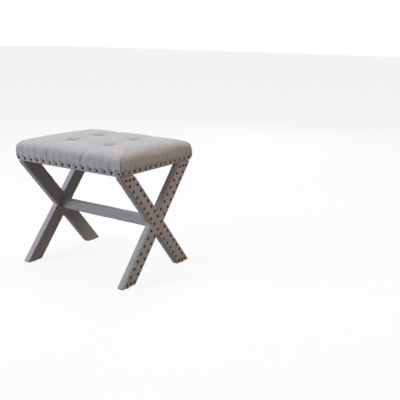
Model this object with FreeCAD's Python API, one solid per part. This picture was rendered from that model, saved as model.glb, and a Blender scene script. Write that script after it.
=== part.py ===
"""An upholstered stool on two X-shaped end frames, with a tufted seat and nailhead trim.

Lengths are millimetres. X runs along the long side of the seat, Y from front to back, Z up.
The origin is on the floor, under the middle of the seat.
"""
import FreeCAD, Part

import math
import os

# Overall sizes
SEAT_LENGTH = 460.0
SEAT_DEPTH = 374.0
SEAT_UNDERSIDE = 370.0

# Seat form, as seen from outside
SEAT_SIDE_HEIGHT = 76.0
SEAT_CROWN = 6.0
SEAT_TOP_EDGE_RADIUS = 22.0
SEAT_CORNER_RADIUS = 8.0
SIDE_BULGE = 3.0
NAIL_BAND_HEIGHT = 21.0
BOTTOM_EDGE_EASE = 2.5
ROUNDING_REACH = 1.0
EDGE_STEPS = 4
SIDE_STEPS = 4
HIDDEN_EDGE_STEPS = 2
HIDDEN_TUFT_SIDES = 10
COVER_THICKNESS = 2.0
COVER_TURN_UNDER = 22.0
PADDING_CLEARANCE = 0.3

# Tufts, two along each long side, with a pulled channel through each front-to-back pair
TUFT_SPACING_X = 164.0
TUFT_SPACING_Y = 132.0
TUFT_SEAT_HEIGHT = 71.0
TUFT_SEAT_RADIUS = 9.0
TUFT_WALL_SLOPE = 42.0
TUFT_SHOULDER_RISE = 6.0
TUFT_SHOULDER_SLOPE = 17.0
CHANNEL_HALF_WIDTH = 7.0
CHANNEL_DEPTH = 3.0
BUTTON_DIAMETER = 16.0
BUTTON_HEIGHT = 5.0
BUTTON_SIDES = 12
BUTTON_LEVELS = ((1.0, 0.3), (0.74, 0.8))
TWINE_DIAMETER = 2.4
TWINE_TAIL = 5.0
WASHER_DIAMETER = 22.0
WASHER_THICKNESS = 3.0

# Seat box
SIDE_PADDING = 4.0
RAIL_THICKNESS = 18.0
RAIL_HEIGHT = 35.0
DECK_THICKNESS = 10.0
CORNER_BLOCK_LEG = 45.0
CORNER_BLOCK_HEIGHT = 30.0
DUST_COVER_THICKNESS = 0.8
DUST_COVER_MARGIN = 16.0
DUST_COVER_FRAME_GAP = 3.0

# X frames
FRAME_THICKNESS = 25.0
ARM_WIDTH = 51.0
FRAME_FABRIC = 2.0
FOOT_TIP_RADIUS = 6.0
FRAME_EDGE_EASE = 2.0
PANEL_EDGE_EASE = 1.0
GLIDE_HEIGHT = 2.5
GLIDE_DIAMETER = 19.0
GLIDE_SIDES = 16

# Stretcher
STRETCHER_HEIGHT = 37.0
STRETCHER_THICKNESS = 28.0
STRETCHER_EDGE_RADIUS = 7.0
STRETCHER_FABRIC = 2.0

# Decorative nails
NAIL_DIAMETER = 11.0
NAIL_HEIGHT = 2.9
NAIL_SHOULDER_HEIGHT = 1.7
NAIL_SHOULDER_SHARE = 0.76
NAIL_SIDES = 8
SEAT_NAIL_RISE = 12.5
SEAT_NAILS_LONG = 16
SEAT_NAILS_SHORT = 14
SEAT_NAIL_END_LONG = 8.0
SEAT_NAIL_END_SHORT = 11.0
FRAME_NAIL_EDGE = 11.0
FRAME_NAIL_END = 12.0
OUTER_ROW_NAILS = 9
INNER_ROW_NAILS = 8

# Screws, bolts and dowels, all out of sight and drawn with flats round them
HIDDEN_SIDES = 6
SCREW_HEAD_HEIGHT = 3.0
SCREW_HEAD_SHARE = 2.0
FRAME_SCREW_DIAMETER = 6.0
FRAME_SCREW_LENGTH = 78.0
FRAME_SCREW_SETBACK = 50.0
FRAME_DOWEL_DIAMETER = 8.0
FRAME_DOWEL_DEPTH = 15.0
FRAME_DOWEL_SETBACK = 31.0
RAIL_SCREW_DIAMETER = 4.0
RAIL_SCREW_LENGTH = 36.0
RAIL_SCREW_RISES = (18.0, 29.0)
DECK_SCREW_LENGTH = 30.0
DECK_SCREW_SPACING = 150.0
STRETCHER_BOLT_DIAMETER = 6.0
STRETCHER_BOLT_LENGTH = 66.0
BOLT_HEAD_DIAMETER = 12.0
BOLT_HEAD_HEIGHT = 4.0
BOLT_OFFSET = -7.0
BARREL_NUT_DIAMETER = 10.0
BARREL_NUT_LENGTH = 16.0
BARREL_NUT_FROM_TIP = 9.0
STRETCHER_DOWEL_OFFSET = 9.0
STRETCHER_DOWEL_DIAMETER = 8.0
STRETCHER_DOWEL_REACH = 18.0

# Places that several pieces share
HALF_LENGTH = SEAT_LENGTH / 2
HALF_DEPTH = SEAT_DEPTH / 2
BAND_TOP = SEAT_UNDERSIDE + NAIL_BAND_HEIGHT
SEAT_EDGE_TOP = SEAT_UNDERSIDE + SEAT_SIDE_HEIGHT
RAIL_BOTTOM = SEAT_UNDERSIDE + COVER_THICKNESS
RAIL_TOP = RAIL_BOTTOM + RAIL_HEIGHT
DECK_TOP = RAIL_TOP + DECK_THICKNESS
RAIL_HALF_LENGTH = HALF_LENGTH - COVER_THICKNESS - SIDE_PADDING
RAIL_HALF_DEPTH = HALF_DEPTH - COVER_THICKNESS - SIDE_PADDING
FRAME_INNER = HALF_LENGTH - FRAME_THICKNESS
WOOD_INNER = FRAME_INNER + FRAME_FABRIC
WOOD_OUTER = HALF_LENGTH - FRAME_FABRIC
WOOD_MIDDLE = (WOOD_INNER + WOOD_OUTER) / 2
ARM_TOP = SEAT_UNDERSIDE
ARM_BOTTOM = GLIDE_HEIGHT
CROSSING_Z = (ARM_TOP + ARM_BOTTOM) / 2
TUFT_SEAT_Z = SEAT_UNDERSIDE + TUFT_SEAT_HEIGHT
SEAT_NAIL_Z = SEAT_UNDERSIDE + SEAT_NAIL_RISE

UP = FreeCAD.Vector(0, 0, 1)
ALONG = FreeCAD.Vector(1, 0, 0)
ACROSS = FreeCAD.Vector(0, 1, 0)


def arm_run():
    """The width of an arm along the floor, where its ends are cut level."""
    rise = ARM_TOP - ARM_BOTTOM
    a = rise**2 - ARM_WIDTH**2
    b = 2 * ARM_WIDTH**2 * SEAT_DEPTH
    c = -(ARM_WIDTH**2) * (rise**2 + SEAT_DEPTH**2)
    return (-b + math.sqrt(b * b - 4 * a * c)) / (2 * a)


ARM_RUN = arm_run()
LEAN = (SEAT_DEPTH - ARM_RUN) / (ARM_TOP - ARM_BOTTOM)
SLANT = math.hypot(1, LEAN)


def save(name, solids):
    """Write one node from a solid or a list of separate solids."""
    group = solids if isinstance(solids, list) else [solids]
    shape = group[0] if len(group) == 1 else Part.makeCompound(group)
    shape.exportStep(os.path.join("parts", name + ".step"))


def turned_round(solid):
    """The same piece on the opposite end of the stool."""
    copy = solid.copy()
    copy.rotate(FreeCAD.Vector(0, 0, 0), UP, 180)
    return copy


def rounded_corners(corners, radii):
    """Where each corner's arc starts, its middle and its end; the same point three times if square."""
    count = len(corners)
    places = []
    for index, corner in enumerate(corners):
        radius = radii[index]
        to_last = (corners[index - 1] - corner).normalize()
        to_next = (corners[(index + 1) % count] - corner).normalize()
        half_angle = to_last.getAngle(to_next) / 2
        cut_back = radius / math.tan(half_angle)
        bisector = (to_last + to_next).normalize()
        middle = corner + bisector * (radius / math.sin(half_angle) - radius)
        places.append((corner + to_last * cut_back, middle, corner + to_next * cut_back))
    return places


def rounded_outline(corners, radii):
    """A closed wire through corners, with a tangent arc at each corner that has a radius."""
    places = rounded_corners(corners, radii)
    edges = []
    for index, (start, middle, end) in enumerate(places):
        if radii[index] > 0:
            edges.append(Part.Arc(start, middle, end).toShape())
        following = places[(index + 1) % len(places)]
        edges.append(Part.makeLine(end, following[0]))
    return Part.Wire(edges)


def box_between(low, high):
    """An upright box from its lowest corner to its highest."""
    size = high - low
    return Part.makeBox(size.x, size.y, size.z, low)


def centred_box(half_x, half_y, low, high):
    """An upright box about the middle of the seat."""
    return box_between(FreeCAD.Vector(-half_x, -half_y, low), FreeCAD.Vector(half_x, half_y, high))


def square_to(direction):
    """Two directions square to an axis and to each other."""
    helper = ALONG if abs(direction.z) > 0.5 else UP
    side = helper.cross(direction).normalize()
    return side, direction.cross(side)


def ring_points(centre, direction, radius, sides):
    """The corners of a regular polygon about an axis."""
    side, other = square_to(direction)
    points = []
    for step in range(sides):
        angle = 2 * math.pi * (step + 0.5) / sides
        points.append(centre + (side * math.cos(angle) + other * math.sin(angle)) * radius)
    return points


def flat_face(points):
    """A flat face round a closed run of points."""
    return Part.Face(Part.makePolygon(points + points[:1]))


def rod(start, direction, diameter, length, sides=HIDDEN_SIDES):
    """A straight rod with flats round it."""
    return flat_face(ring_points(start, direction, diameter / 2, sides)).extrude(direction * length)


def upright_rod(centre, diameter, low, high, sides=HIDDEN_SIDES):
    """A rod standing between two heights, to keep or to cut with."""
    return rod(FreeCAD.Vector(centre.x, centre.y, low), UP, diameter, high - low, sides)


def flat_sided(rings):
    """A solid in flat facets between closed runs of points, flat at both ends."""
    faces = [flat_face(rings[0]), flat_face(rings[-1])]
    count = len(rings[0])
    for low, high in zip(rings, rings[1:]):
        for step in range(count):
            after = (step + 1) % count
            faces.append(flat_face([low[step], low[after], high[after], high[step]]))
    return Part.Solid(Part.Shell(faces))


def domed_head(place, outward, radius, levels, crest_height, sides):
    """A dome in flat facets, its back flat at place.

    levels gives each ring above the rim as its share of the radius and its height.
    """
    rings = [ring_points(place, outward, radius, sides)]
    for share, height in levels:
        rings.append(ring_points(place + outward * height, outward, radius * share, sides))
    crest = place + outward * crest_height
    faces = [flat_face(rings[0])]
    for step in range(sides):
        after = (step + 1) % sides
        for low, high in zip(rings, rings[1:]):
            faces.append(flat_face([low[step], low[after], high[after], high[step]]))
        faces.append(flat_face([rings[-1][step], rings[-1][after], crest]))
    return Part.Solid(Part.Shell(faces))


def screw(tip, direction, diameter, length):
    """A screw with a flat head at the far end from its tip."""
    shank = rod(tip, direction, diameter, length - SCREW_HEAD_HEIGHT)
    head_base = tip + direction * (length - SCREW_HEAD_HEIGHT)
    head = rod(head_base, direction, diameter * SCREW_HEAD_SHARE, SCREW_HEAD_HEIGHT)
    return shank.fuse(head)


# The seat's padded form

class CrownProfile:
    """Half of a crowned section: a rounded edge and a top arc that share a tangent.

    out is measured from the middle and up from the floor. An inset moves the whole profile inwards.
    """

    def __init__(self, half_width, inset):
        self.radius = SEAT_TOP_EDGE_RADIUS - inset
        self.centre_out = half_width - SEAT_TOP_EDGE_RADIUS
        self.centre_up = SEAT_EDGE_TOP - SEAT_TOP_EDGE_RADIUS
        self.slope = 2 * math.atan(SEAT_CROWN / self.centre_out)
        self.join_out, self.join_up = self.on_edge(self.slope)
        self.crest = self.join_up + self.join_out * math.tan(self.slope / 2)

    def on_edge(self, angle):
        """A point of the rounded edge at an angle from upright."""
        out = self.centre_out + self.radius * math.sin(angle)
        return out, self.centre_up + self.radius * math.cos(angle)

    def drop_at(self, out):
        """How far the top arc lies below its crest."""
        arc_radius = self.join_out / math.sin(self.slope)
        return arc_radius - math.sqrt(arc_radius**2 - out**2)


def crowned_section(x, inset, lower):
    """Points round the section over the seat's depth at x, its top lowered by an amount.

    They run from the floor at the front, over the top, to the floor at the back.
    """
    profile = CrownProfile(HALF_DEPTH + SIDE_BULGE + ROUNDING_REACH, inset)
    side = profile.centre_out + profile.radius
    middle_out, middle_up = profile.on_edge((math.pi / 2 + profile.slope) / 2)
    floor = SEAT_UNDERSIDE - BOTTOM_EDGE_EASE
    front = [
        (-side, floor),
        (-side, profile.centre_up - lower),
        (-middle_out, middle_up - lower),
        (-profile.join_out, profile.join_up - lower),
    ]
    back = [(-out, up) for out, up in reversed(front)]
    return [FreeCAD.Vector(x, y, z) for y, z in front + [(0.0, profile.crest - lower)] + back]


def section_wire(points):
    """The smooth wire through a section's nine points: a rounded edge, the crown, a rounded edge."""
    edges = [Part.makeLine(points[0], points[1])]
    for first in (1, 3, 5):
        edges.append(Part.Arc(points[first], points[first + 1], points[first + 2]).toShape())
    edges.append(Part.makeLine(points[7], points[8]))
    edges.append(Part.makeLine(points[8], points[0]))
    return Part.Wire(edges)


def crown_stations(inset, edge_steps):
    """Where the block's sections stand: along X, how far each is lowered and how far pulled in."""
    profile = CrownProfile(HALF_LENGTH + SIDE_BULGE + ROUNDING_REACH, inset)
    lift = profile.crest - (profile.centre_up + profile.radius)
    channel = TUFT_SPACING_X / 2
    half = [(0.0, -lift, 0.0)]
    for out, tuck in (
        (channel - CHANNEL_HALF_WIDTH, 0.0),
        (channel, CHANNEL_DEPTH),
        (channel + CHANNEL_HALF_WIDTH, 0.0),
        ((channel + profile.join_out) / 2, 0.0),
    ):
        half.append((out, profile.drop_at(out) - lift, tuck))
    for step in range(edge_steps + 1):
        angle = profile.slope + (math.pi / 2 - profile.slope) * step / edge_steps
        out, up = profile.on_edge(angle)
        half.append((out, profile.crest - up - lift, 0.0))
    return [(-out, lower, tuck) for out, lower, tuck in half[:0:-1]] + half


def crowned_block(inset):
    """A block crowned both ways, rounded over at its top edges and pulled in at the channels.

    The outside, with no inset, is smooth and a surface within it is in flats.
    """
    stations = crown_stations(inset, HIDDEN_EDGE_STEPS if inset else EDGE_STEPS)
    sections = [crowned_section(x, inset + tuck, lower) for x, lower, tuck in stations]
    if inset:
        return flat_sided(sections)
    return Part.makeLoft([section_wire(points) for points in sections], True, True)


def plan_outline(z, grow):
    """The seat's corners and their radii seen from above at height z, grown on every side."""
    half_x = HALF_LENGTH + grow
    half_y = HALF_DEPTH + grow
    corners = [
        FreeCAD.Vector(-half_x, -half_y, z),
        FreeCAD.Vector(half_x, -half_y, z),
        FreeCAD.Vector(half_x, half_y, z),
        FreeCAD.Vector(-half_x, half_y, z),
    ]
    return corners, [SEAT_CORNER_RADIUS + min(grow, 0.0)] * 4


def drawn_in_sides(inset, bottom):
    """The seat's sides: straight where the nails hold them, then swelling out above."""
    outlines = [plan_outline(bottom, -inset)]
    if bottom < RAIL_BOTTOM:
        outlines = [
            plan_outline(bottom, -inset - BOTTOM_EDGE_EASE),
            plan_outline(bottom + BOTTOM_EDGE_EASE, -inset),
        ]
    top = SEAT_EDGE_TOP + SEAT_TOP_EDGE_RADIUS
    for step in range(SIDE_STEPS + 1):
        share = step / SIDE_STEPS
        z = BAND_TOP + (top - BAND_TOP) * share
        outlines.append(plan_outline(z, SIDE_BULGE * math.sin(math.pi * share) - inset))
    if inset:
        return flat_sided([
            [point for corner in rounded_corners(*outline) for point in corner] for outline in outlines
        ])
    return Part.makeLoft([rounded_outline(*outline) for outline in outlines], True, True)


def tuft_centres():
    """The four tufts, as points on the floor plane."""
    half_x = TUFT_SPACING_X / 2
    half_y = TUFT_SPACING_Y / 2
    return [FreeCAD.Vector(x, y, 0) for x in (-half_x, half_x) for y in (-half_y, half_y)]


def tuft_tool(centre, low, slope_degrees, inset):
    """A cone to cut a tuft with, flat at the bottom, or flats a set distance outside it."""
    slope = math.radians(slope_degrees)
    base = low - inset
    radius = TUFT_SEAT_RADIUS + inset * math.tan(slope / 2)
    height = SEAT_EDGE_TOP + SEAT_TOP_EDGE_RADIUS - base
    far_radius = radius + height / math.tan(slope)
    start = FreeCAD.Vector(centre.x, centre.y, base)
    if inset == 0:
        return Part.makeCone(radius, far_radius, height, start, UP)
    corner = 1 / math.cos(math.pi / HIDDEN_TUFT_SIDES)
    return flat_sided([
        ring_points(start, UP, radius * corner, HIDDEN_TUFT_SIDES),
        ring_points(start + UP * height, UP, far_radius * corner, HIDDEN_TUFT_SIDES),
    ])


def seat_form(inset, bottom):
    """The padded seat's outside, or a surface in flats a set distance within it."""
    form = crowned_block(inset).common(drawn_in_sides(inset, bottom))
    for centre in tuft_centres():
        form = form.cut(tuft_tool(centre, TUFT_SEAT_Z, TUFT_WALL_SLOPE, inset))
        form = form.cut(tuft_tool(centre, TUFT_SEAT_Z + TUFT_SHOULDER_RISE, TUFT_SHOULDER_SLOPE, inset))
    return form.Solids[0]


def seat_cover():
    """The fabric that covers the seat and turns under its bottom edges."""
    outside = seat_form(0.0, SEAT_UNDERSIDE)
    inside = seat_form(COVER_THICKNESS, RAIL_BOTTOM)
    opening = centred_box(
        HALF_LENGTH - COVER_TURN_UNDER,
        HALF_DEPTH - COVER_TURN_UNDER,
        SEAT_UNDERSIDE - 1.0,
        RAIL_BOTTOM + 1.0,
    )
    cover = outside.cut(inside).cut(opening)
    for centre in tuft_centres():
        cover = cover.cut(upright_rod(centre, TWINE_DIAMETER, DECK_TOP, TUFT_SEAT_Z + 1.0))
    for fixing in frame_screws() + frame_dowels():
        cover = cover.cut(fixing)
    return cover


def padding(low, high):
    """The soft filling between two heights, a little clear of the cover."""
    form = seat_form(COVER_THICKNESS + PADDING_CLEARANCE, RAIL_BOTTOM)
    return form.common(centred_box(SEAT_LENGTH, SEAT_DEPTH, low, high))


def foam_pad():
    """The foam on the deck, under the crowned and tufted top."""
    foam = padding(DECK_TOP, SEAT_EDGE_TOP + SEAT_TOP_EDGE_RADIUS)
    for centre in tuft_centres():
        foam = foam.cut(upright_rod(centre, TWINE_DIAMETER, DECK_TOP, TUFT_SEAT_Z))
    return foam


def side_wadding():
    """The band of wadding round the outside of the rails."""
    wooden = centred_box(RAIL_HALF_LENGTH, RAIL_HALF_DEPTH, RAIL_BOTTOM, DECK_TOP)
    return padding(RAIL_BOTTOM, DECK_TOP).cut(wooden)


def tuft_buttons():
    """Fabric-covered buttons, one in each tuft."""
    levels = [(share, BUTTON_HEIGHT * rise) for share, rise in BUTTON_LEVELS]
    return [
        domed_head(centre + UP * TUFT_SEAT_Z, UP, BUTTON_DIAMETER / 2, levels, BUTTON_HEIGHT, BUTTON_SIDES)
        for centre in tuft_centres()
    ]


def tuft_twines():
    """The twine from each button, down through the deck to its washer."""
    low = RAIL_TOP - WASHER_THICKNESS - TWINE_TAIL
    return [upright_rod(centre, TWINE_DIAMETER, low, TUFT_SEAT_Z) for centre in tuft_centres()]


def tuft_washers():
    """The washers under the deck that the twines are tied to."""
    washers = []
    for centre in tuft_centres():
        disc = upright_rod(centre, WASHER_DIAMETER, RAIL_TOP - WASHER_THICKNESS, RAIL_TOP)
        washers.append(disc.cut(upright_rod(centre, TWINE_DIAMETER, 0, SEAT_EDGE_TOP)))
    return washers


# The seat box

def long_rails():
    """The front and back rails, each the full length of the box."""
    rails = []
    for side in (-1, 1):
        outer = side * RAIL_HALF_DEPTH
        inner = side * (RAIL_HALF_DEPTH - RAIL_THICKNESS)
        low = FreeCAD.Vector(-RAIL_HALF_LENGTH, min(outer, inner), RAIL_BOTTOM)
        high = FreeCAD.Vector(RAIL_HALF_LENGTH, max(outer, inner), RAIL_TOP)
        rail = box_between(low, high)
        for fixing in rail_screws() + deck_screws():
            rail = rail.cut(fixing)
        rails.append(rail)
    return rails


def short_rails():
    """The left and right rails, between the long ones and over the X frames."""
    rails = []
    half = RAIL_HALF_DEPTH - RAIL_THICKNESS
    for side in (-1, 1):
        outer = side * RAIL_HALF_LENGTH
        inner = side * (RAIL_HALF_LENGTH - RAIL_THICKNESS)
        low = FreeCAD.Vector(min(outer, inner), -half, RAIL_BOTTOM)
        high = FreeCAD.Vector(max(outer, inner), half, RAIL_TOP)
        rail = box_between(low, high)
        for fixing in rail_screws() + deck_screws() + frame_screws() + frame_dowels():
            rail = rail.cut(fixing)
        rails.append(rail)
    return rails


def corner_blocks():
    """Triangular glue blocks in the four inner corners of the box."""
    blocks = []
    inner_x = RAIL_HALF_LENGTH - RAIL_THICKNESS
    inner_y = RAIL_HALF_DEPTH - RAIL_THICKNESS
    z = RAIL_TOP - CORNER_BLOCK_HEIGHT
    for side_x in (-1, 1):
        for side_y in (-1, 1):
            corner = FreeCAD.Vector(side_x * inner_x, side_y * inner_y, z)
            along = corner - ALONG * (side_x * CORNER_BLOCK_LEG)
            across = corner - ACROSS * (side_y * CORNER_BLOCK_LEG)
            face = Part.Face(Part.makePolygon([corner, along, across, corner]))
            blocks.append(face.extrude(UP * CORNER_BLOCK_HEIGHT))
    return blocks


def seat_deck():
    """The plywood deck that closes the box and carries the foam."""
    deck = centred_box(RAIL_HALF_LENGTH, RAIL_HALF_DEPTH, RAIL_TOP, DECK_TOP)
    for centre in tuft_centres():
        deck = deck.cut(upright_rod(centre, TWINE_DIAMETER, RAIL_TOP, DECK_TOP))
    for fixing in deck_screws():
        deck = deck.cut(fixing)
    return deck


def dust_cover():
    """The thin cloth stapled over the open underside, between the X frames."""
    return centred_box(
        FRAME_INNER - DUST_COVER_FRAME_GAP,
        HALF_DEPTH - DUST_COVER_MARGIN,
        SEAT_UNDERSIDE - DUST_COVER_THICKNESS,
        SEAT_UNDERSIDE,
    )


def rail_screws():
    """Screws through the long rails into the ends of the short ones."""
    screws = []
    x = RAIL_HALF_LENGTH - RAIL_THICKNESS / 2
    for side_x in (-1, 1):
        for side_y in (-1, 1):
            for rise in RAIL_SCREW_RISES:
                tip_y = side_y * (RAIL_HALF_DEPTH - RAIL_SCREW_LENGTH)
                tip = FreeCAD.Vector(side_x * x, tip_y, RAIL_BOTTOM + rise)
                direction = ACROSS * side_y
                screws.append(
                    screw(tip, direction, RAIL_SCREW_DIAMETER, RAIL_SCREW_LENGTH)
                )
    return screws


def deck_screws():
    """Screws that hold the deck down on the rails."""
    places = []
    long_y = RAIL_HALF_DEPTH - RAIL_THICKNESS / 2
    short_x = RAIL_HALF_LENGTH - RAIL_THICKNESS / 2
    for side in (-1, 1):
        for step in (-1, 0, 1):
            places.append((step * DECK_SCREW_SPACING, side * long_y))
        places.append((side * short_x, 0.0))
    tip_z = DECK_TOP - DECK_SCREW_LENGTH
    return [
        screw(FreeCAD.Vector(x, y, tip_z), UP, RAIL_SCREW_DIAMETER, DECK_SCREW_LENGTH)
        for x, y in places
    ]


def frame_screws():
    """Long screws, one down into the top of each arm."""
    screws = []
    y = HALF_DEPTH - FRAME_SCREW_SETBACK
    for side_x in (-1, 1):
        for side_y in (-1, 1):
            tip = FreeCAD.Vector(side_x * WOOD_MIDDLE, side_y * y, RAIL_TOP - FRAME_SCREW_LENGTH)
            screws.append(
                screw(tip, UP, FRAME_SCREW_DIAMETER, FRAME_SCREW_LENGTH)
            )
    return screws


def frame_dowels():
    """Wooden dowels that stop the arms turning under the seat, one beside each long screw."""
    y = HALF_DEPTH - FRAME_DOWEL_SETBACK
    low = ARM_TOP - FRAME_FABRIC - FRAME_DOWEL_DEPTH
    high = RAIL_BOTTOM + FRAME_DOWEL_DEPTH
    return [
        upright_rod(FreeCAD.Vector(side_x * WOOD_MIDDLE, side_y * y, 0), FRAME_DOWEL_DIAMETER, low, high)
        for side_x in (-1, 1)
        for side_y in (-1, 1)
    ]


# The X frames, drawn at the right end

def arm_corners(inset, foot_side):
    """The four corners of one arm in the YZ plane, foot tip first.

    foot_side is 1 where the foot is at the back and -1 where it is at the front.
    """
    shift = inset * SLANT
    low = ARM_BOTTOM + inset
    high = ARM_TOP - inset

    def outer(z):
        return foot_side * (HALF_DEPTH - LEAN * (z - ARM_BOTTOM) - shift)

    def inner(z):
        return foot_side * (HALF_DEPTH - ARM_RUN - LEAN * (z - ARM_BOTTOM) + shift)

    return [(outer(low), low), (outer(high), high), (inner(high), high), (inner(low), low)]


def arm_board(foot_side, inset, x_low, x_high):
    """One arm as a board with its foot tip eased, between two places along X."""
    corners = [FreeCAD.Vector(x_low, y, z) for y, z in arm_corners(inset, foot_side)]
    tip_radius = FOOT_TIP_RADIUS - inset
    outline = rounded_outline(corners, [tip_radius, 0, 0, 0])
    return Part.Face(outline).extrude(ALONG * (x_high - x_low))


def cross_block(x_low, x_high):
    """The outside of both arms together, between two places along X."""
    boards = [arm_board(foot_side, 0, x_low, x_high) for foot_side in (-1, 1)]
    return boards[0].fuse(boards[1]).removeSplitter()


def frame_fixings():
    """Everything that is screwed, pinned or bolted into a right-hand frame."""
    pieces = frame_screws() + frame_dowels()
    return pieces + stretcher_bolts() + stretcher_dowels()


def drilled(solid, fixings):
    """A piece with a hole for each fixing that reaches it."""
    for fixing in fixings:
        if solid.BoundBox.intersect(fixing.BoundBox):
            solid = solid.cut(fixing)
    return solid


def frame_arms():
    """The two boards of a frame, half-lapped where they cross."""
    falling = arm_board(1, FRAME_FABRIC, WOOD_INNER, WOOD_OUTER)
    rising = arm_board(-1, FRAME_FABRIC, WOOD_INNER, WOOD_OUTER)
    outer_half = arm_board(-1, FRAME_FABRIC, WOOD_MIDDLE, WOOD_OUTER)
    inner_half = arm_board(1, FRAME_FABRIC, WOOD_INNER, WOOD_MIDDLE)
    fixings = frame_fixings()
    return drilled(falling.cut(outer_half), fixings), drilled(rising.cut(inner_half), fixings)


def frame_wrap():
    """The cloth over a frame's inner face and all its edges."""
    block = cross_block(FRAME_INNER, WOOD_OUTER)
    rim = [edge for edge in block.Edges if edge.BoundBox.XMax < FRAME_INNER + 0.01]
    block = block.makeChamfer(FRAME_EDGE_EASE, rim)
    for foot_side in (-1, 1):
        block = block.cut(arm_board(foot_side, FRAME_FABRIC, WOOD_INNER, HALF_LENGTH))
    return drilled(block, frame_fixings())


def frame_panel():
    """The cloth panel nailed over a frame's outer face."""
    sheet = cross_block(WOOD_OUTER, HALF_LENGTH)
    rim = [edge for edge in sheet.Edges if edge.BoundBox.XMin > HALF_LENGTH - 0.01]
    return sheet.makeChamfer(PANEL_EDGE_EASE, rim)


def glides():
    """Nail-on glides under the two feet of a frame."""
    foot_middle = HALF_DEPTH - ARM_RUN / 2
    return [
        upright_rod(
            FreeCAD.Vector(WOOD_MIDDLE, side * foot_middle, 0), GLIDE_DIAMETER, 0, GLIDE_HEIGHT, GLIDE_SIDES
        )
        for side in (-1, 1)
    ]


# The stretcher

def stretcher_section(x, inset):
    """The stretcher's rounded section, or one a set distance within it."""
    half_y = STRETCHER_THICKNESS / 2 - inset
    half_z = STRETCHER_HEIGHT / 2 - inset
    corners = [
        FreeCAD.Vector(x, y, CROSSING_Z + z)
        for y, z in ((-half_y, -half_z), (half_y, -half_z), (half_y, half_z), (-half_y, half_z))
    ]
    return Part.Face(rounded_outline(corners, [STRETCHER_EDGE_RADIUS - inset] * 4))


def stretcher_core():
    """The wooden bar between the two crossings."""
    core = stretcher_section(-FRAME_INNER, STRETCHER_FABRIC).extrude(ALONG * (2 * FRAME_INNER))
    inner = stretcher_bolts() + stretcher_dowels() + barrel_nuts()
    return drilled(core, inner + [turned_round(piece) for piece in inner])


def stretcher_sleeve():
    """The cloth sleeve round the bar."""
    block = stretcher_section(-FRAME_INNER, 0).extrude(ALONG * (2 * FRAME_INNER))
    core = stretcher_section(-FRAME_INNER, STRETCHER_FABRIC).extrude(ALONG * (2 * FRAME_INNER))
    return block.cut(core)


def stretcher_bolts():
    """The bolt through the right crossing into the bar, its head let in under the panel."""
    head_base = FreeCAD.Vector(WOOD_OUTER - BOLT_HEAD_HEIGHT, 0, CROSSING_Z + BOLT_OFFSET)
    head = rod(head_base, ALONG, BOLT_HEAD_DIAMETER, BOLT_HEAD_HEIGHT)
    tip = head_base - ALONG * STRETCHER_BOLT_LENGTH
    return [head.fuse(rod(tip, ALONG, STRETCHER_BOLT_DIAMETER, STRETCHER_BOLT_LENGTH))]


def barrel_nuts():
    """The cross nut inside the bar that the bolt pulls on."""
    x = WOOD_OUTER - BOLT_HEAD_HEIGHT - STRETCHER_BOLT_LENGTH + BARREL_NUT_FROM_TIP
    base = FreeCAD.Vector(x, -BARREL_NUT_LENGTH / 2, CROSSING_Z + BOLT_OFFSET)
    return [rod(base, ACROSS, BARREL_NUT_DIAMETER, BARREL_NUT_LENGTH).cut(stretcher_bolts()[0])]


def stretcher_dowels():
    """The wooden dowel over the bolt that stops the bar turning."""
    start = FreeCAD.Vector(FRAME_INNER - STRETCHER_DOWEL_REACH, 0, CROSSING_Z + STRETCHER_DOWEL_OFFSET)
    length = WOOD_OUTER - FRAME_FABRIC - start.x
    return [rod(start, ALONG, STRETCHER_DOWEL_DIAMETER, length)]


# Nailhead trim

def nail(place, outward):
    """A domed nailhead, its back on the cloth at place."""
    levels = [(NAIL_SHOULDER_SHARE, NAIL_SHOULDER_HEIGHT)]
    return domed_head(place, outward, NAIL_DIAMETER / 2, levels, NAIL_HEIGHT, NAIL_SIDES)


def evenly(start, end, count):
    """Points from start to end with equal gaps, both ends kept."""
    return [start + (end - start) * (step / (count - 1)) for step in range(count)]


def seat_nail_row(start, end, count, outward):
    """One side's nails, level along the bottom of the seat."""
    return [nail(place, outward) for place in evenly(start, end, count)]


def long_side_nails(side):
    """Nails along the front, side -1, or the back, side 1."""
    reach = HALF_LENGTH - SEAT_NAIL_END_LONG
    start = FreeCAD.Vector(-reach, side * HALF_DEPTH, SEAT_NAIL_Z)
    end = FreeCAD.Vector(reach, side * HALF_DEPTH, SEAT_NAIL_Z)
    return seat_nail_row(start, end, SEAT_NAILS_LONG, ACROSS * side)


def short_side_nails(side):
    """Nails along the left, side -1, or the right, side 1."""
    reach = HALF_DEPTH - SEAT_NAIL_END_SHORT
    start = FreeCAD.Vector(side * HALF_LENGTH, -reach, SEAT_NAIL_Z)
    end = FreeCAD.Vector(side * HALF_LENGTH, reach, SEAT_NAIL_Z)
    return seat_nail_row(start, end, SEAT_NAILS_SHORT, ALONG * side)


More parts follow.
